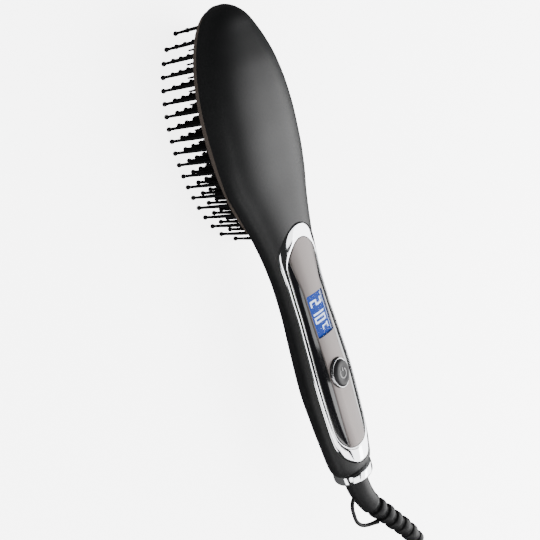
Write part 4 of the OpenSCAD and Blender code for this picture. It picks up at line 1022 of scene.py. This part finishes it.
# ---------------------------------------------------------------- floor and light
# the floor shines for the camera alone, and what is polished mirrors it dark
me = bpy.data.meshes.new("floor")
me.from_pydata([(-6, -6, -0.0002), (6, -6, -0.0002), (6, 6, -0.0002), (-6, 6, -0.0002)], [], [(0, 1, 2, 3)])
floor = bpy.data.objects.new("floor", me)
scene.collection.objects.link(floor)
pale = material("floor_pale", (0.93, 0.93, 0.93), 0.7, vary=0.005, scale=2, grain=30, bump=0.0, spec=0.2)
nt = pale.node_tree
seen = node(nt, "ShaderNodeLightPath")
lift = node(nt, "ShaderNodeMath", operation="MULTIPLY")
lift.inputs[1].default_value = 4.4
nt.links.new(seen.outputs["Is Camera Ray"], lift.inputs[0])
shade = next(n for n in nt.nodes if n.bl_idname == "ShaderNodeBsdfPrincipled")
shade.inputs["Emission Color"].default_value = (1, 1, 1, 1)
nt.links.new(lift.outputs[0], shade.inputs["Emission Strength"])
dark = node(nt, "ShaderNodeBsdfDiffuse")
dark.inputs[0].default_value = (0.05, 0.05, 0.05, 1)
either = node(nt, "ShaderNodeMixShader")
nt.links.new(seen.outputs["Is Glossy Ray"], either.inputs[0])
nt.links.new(shade.outputs[0], either.inputs[1])
nt.links.new(dark.outputs[0], either.inputs[2])
sink = next(n for n in nt.nodes if n.bl_idname == "ShaderNodeOutputMaterial")
nt.links.new(either.outputs[0], sink.inputs[0])
me.materials.append(pale)

# an even white dome lights the set, and what shines mirrors a dark room with softboxes in it
world = bpy.data.worlds.new("studio")
scene.world = world
world.use_nodes = True
nt = world.node_tree
dome = nt.nodes["Background"]
dome.inputs[0].default_value = (0.98, 0.99, 1.0, 1)
room = node(nt, "ShaderNodeBackground")
room.inputs[0].default_value = (1, 1, 1, 1)
room.inputs[1].default_value = 0.03
path = node(nt, "ShaderNodeLightPath")
far_wall = node(nt, "ShaderNodeMath", operation="MULTIPLY_ADD")
far_wall.inputs[1].default_value, far_wall.inputs[2].default_value = 4, 1.1
nt.links.new(path.outputs["Is Camera Ray"], far_wall.inputs[0])
nt.links.new(far_wall.outputs[0], dome.inputs[1])
mix = node(nt, "ShaderNodeMixShader")
nt.links.new(path.outputs["Is Glossy Ray"], mix.inputs[0])
nt.links.new(dome.outputs[0], mix.inputs[1])
nt.links.new(room.outputs[0], mix.inputs[2])
nt.links.new(mix.outputs[0], nt.nodes["World Output"].inputs[0])


def softbox(name, direction, far, across, along, glow):
    """Softbox that far off in that direction, its size given across and along the brush."""
    light = bpy.data.lights.new(name, "AREA")
    light.shape, light.size, light.size_y = "RECTANGLE", across, along
    light.energy = glow * math.pi * across * along
    ob = bpy.data.objects.new(name, light)
    z = Vector(direction).normalized()
    y = (Vector((0, 1, 0)) - z * z.y).normalized()
    place = Matrix((y.cross(z), y, z)).transposed().to_4x4()
    place.translation = z * far + Vector((0, 0, 0.04))
    ob.matrix_world = place
    scene.collection.objects.link(ob)


softbox("key", (0.80, -0.38, 0.50), 1.2, 1.0, 1.2, 7)
softbox("top", (0.36, -0.10, 0.93), 1.2, 0.62, 0.6, 4)
softbox("front", (0.32, -0.68, 0.66), 1.25, 0.72, 0.8, 5)
softbox("corner", (-0.24, -0.69, 0.68), 1.25, 0.62, 0.4, 5)
softbox("rail", (-0.68, -0.46, 0.58), 1.3, 0.36, 0.66, 5)
softbox("low_left", (-0.80, -0.60, 0.02), 1.3, 0.5, 0.6, 5)
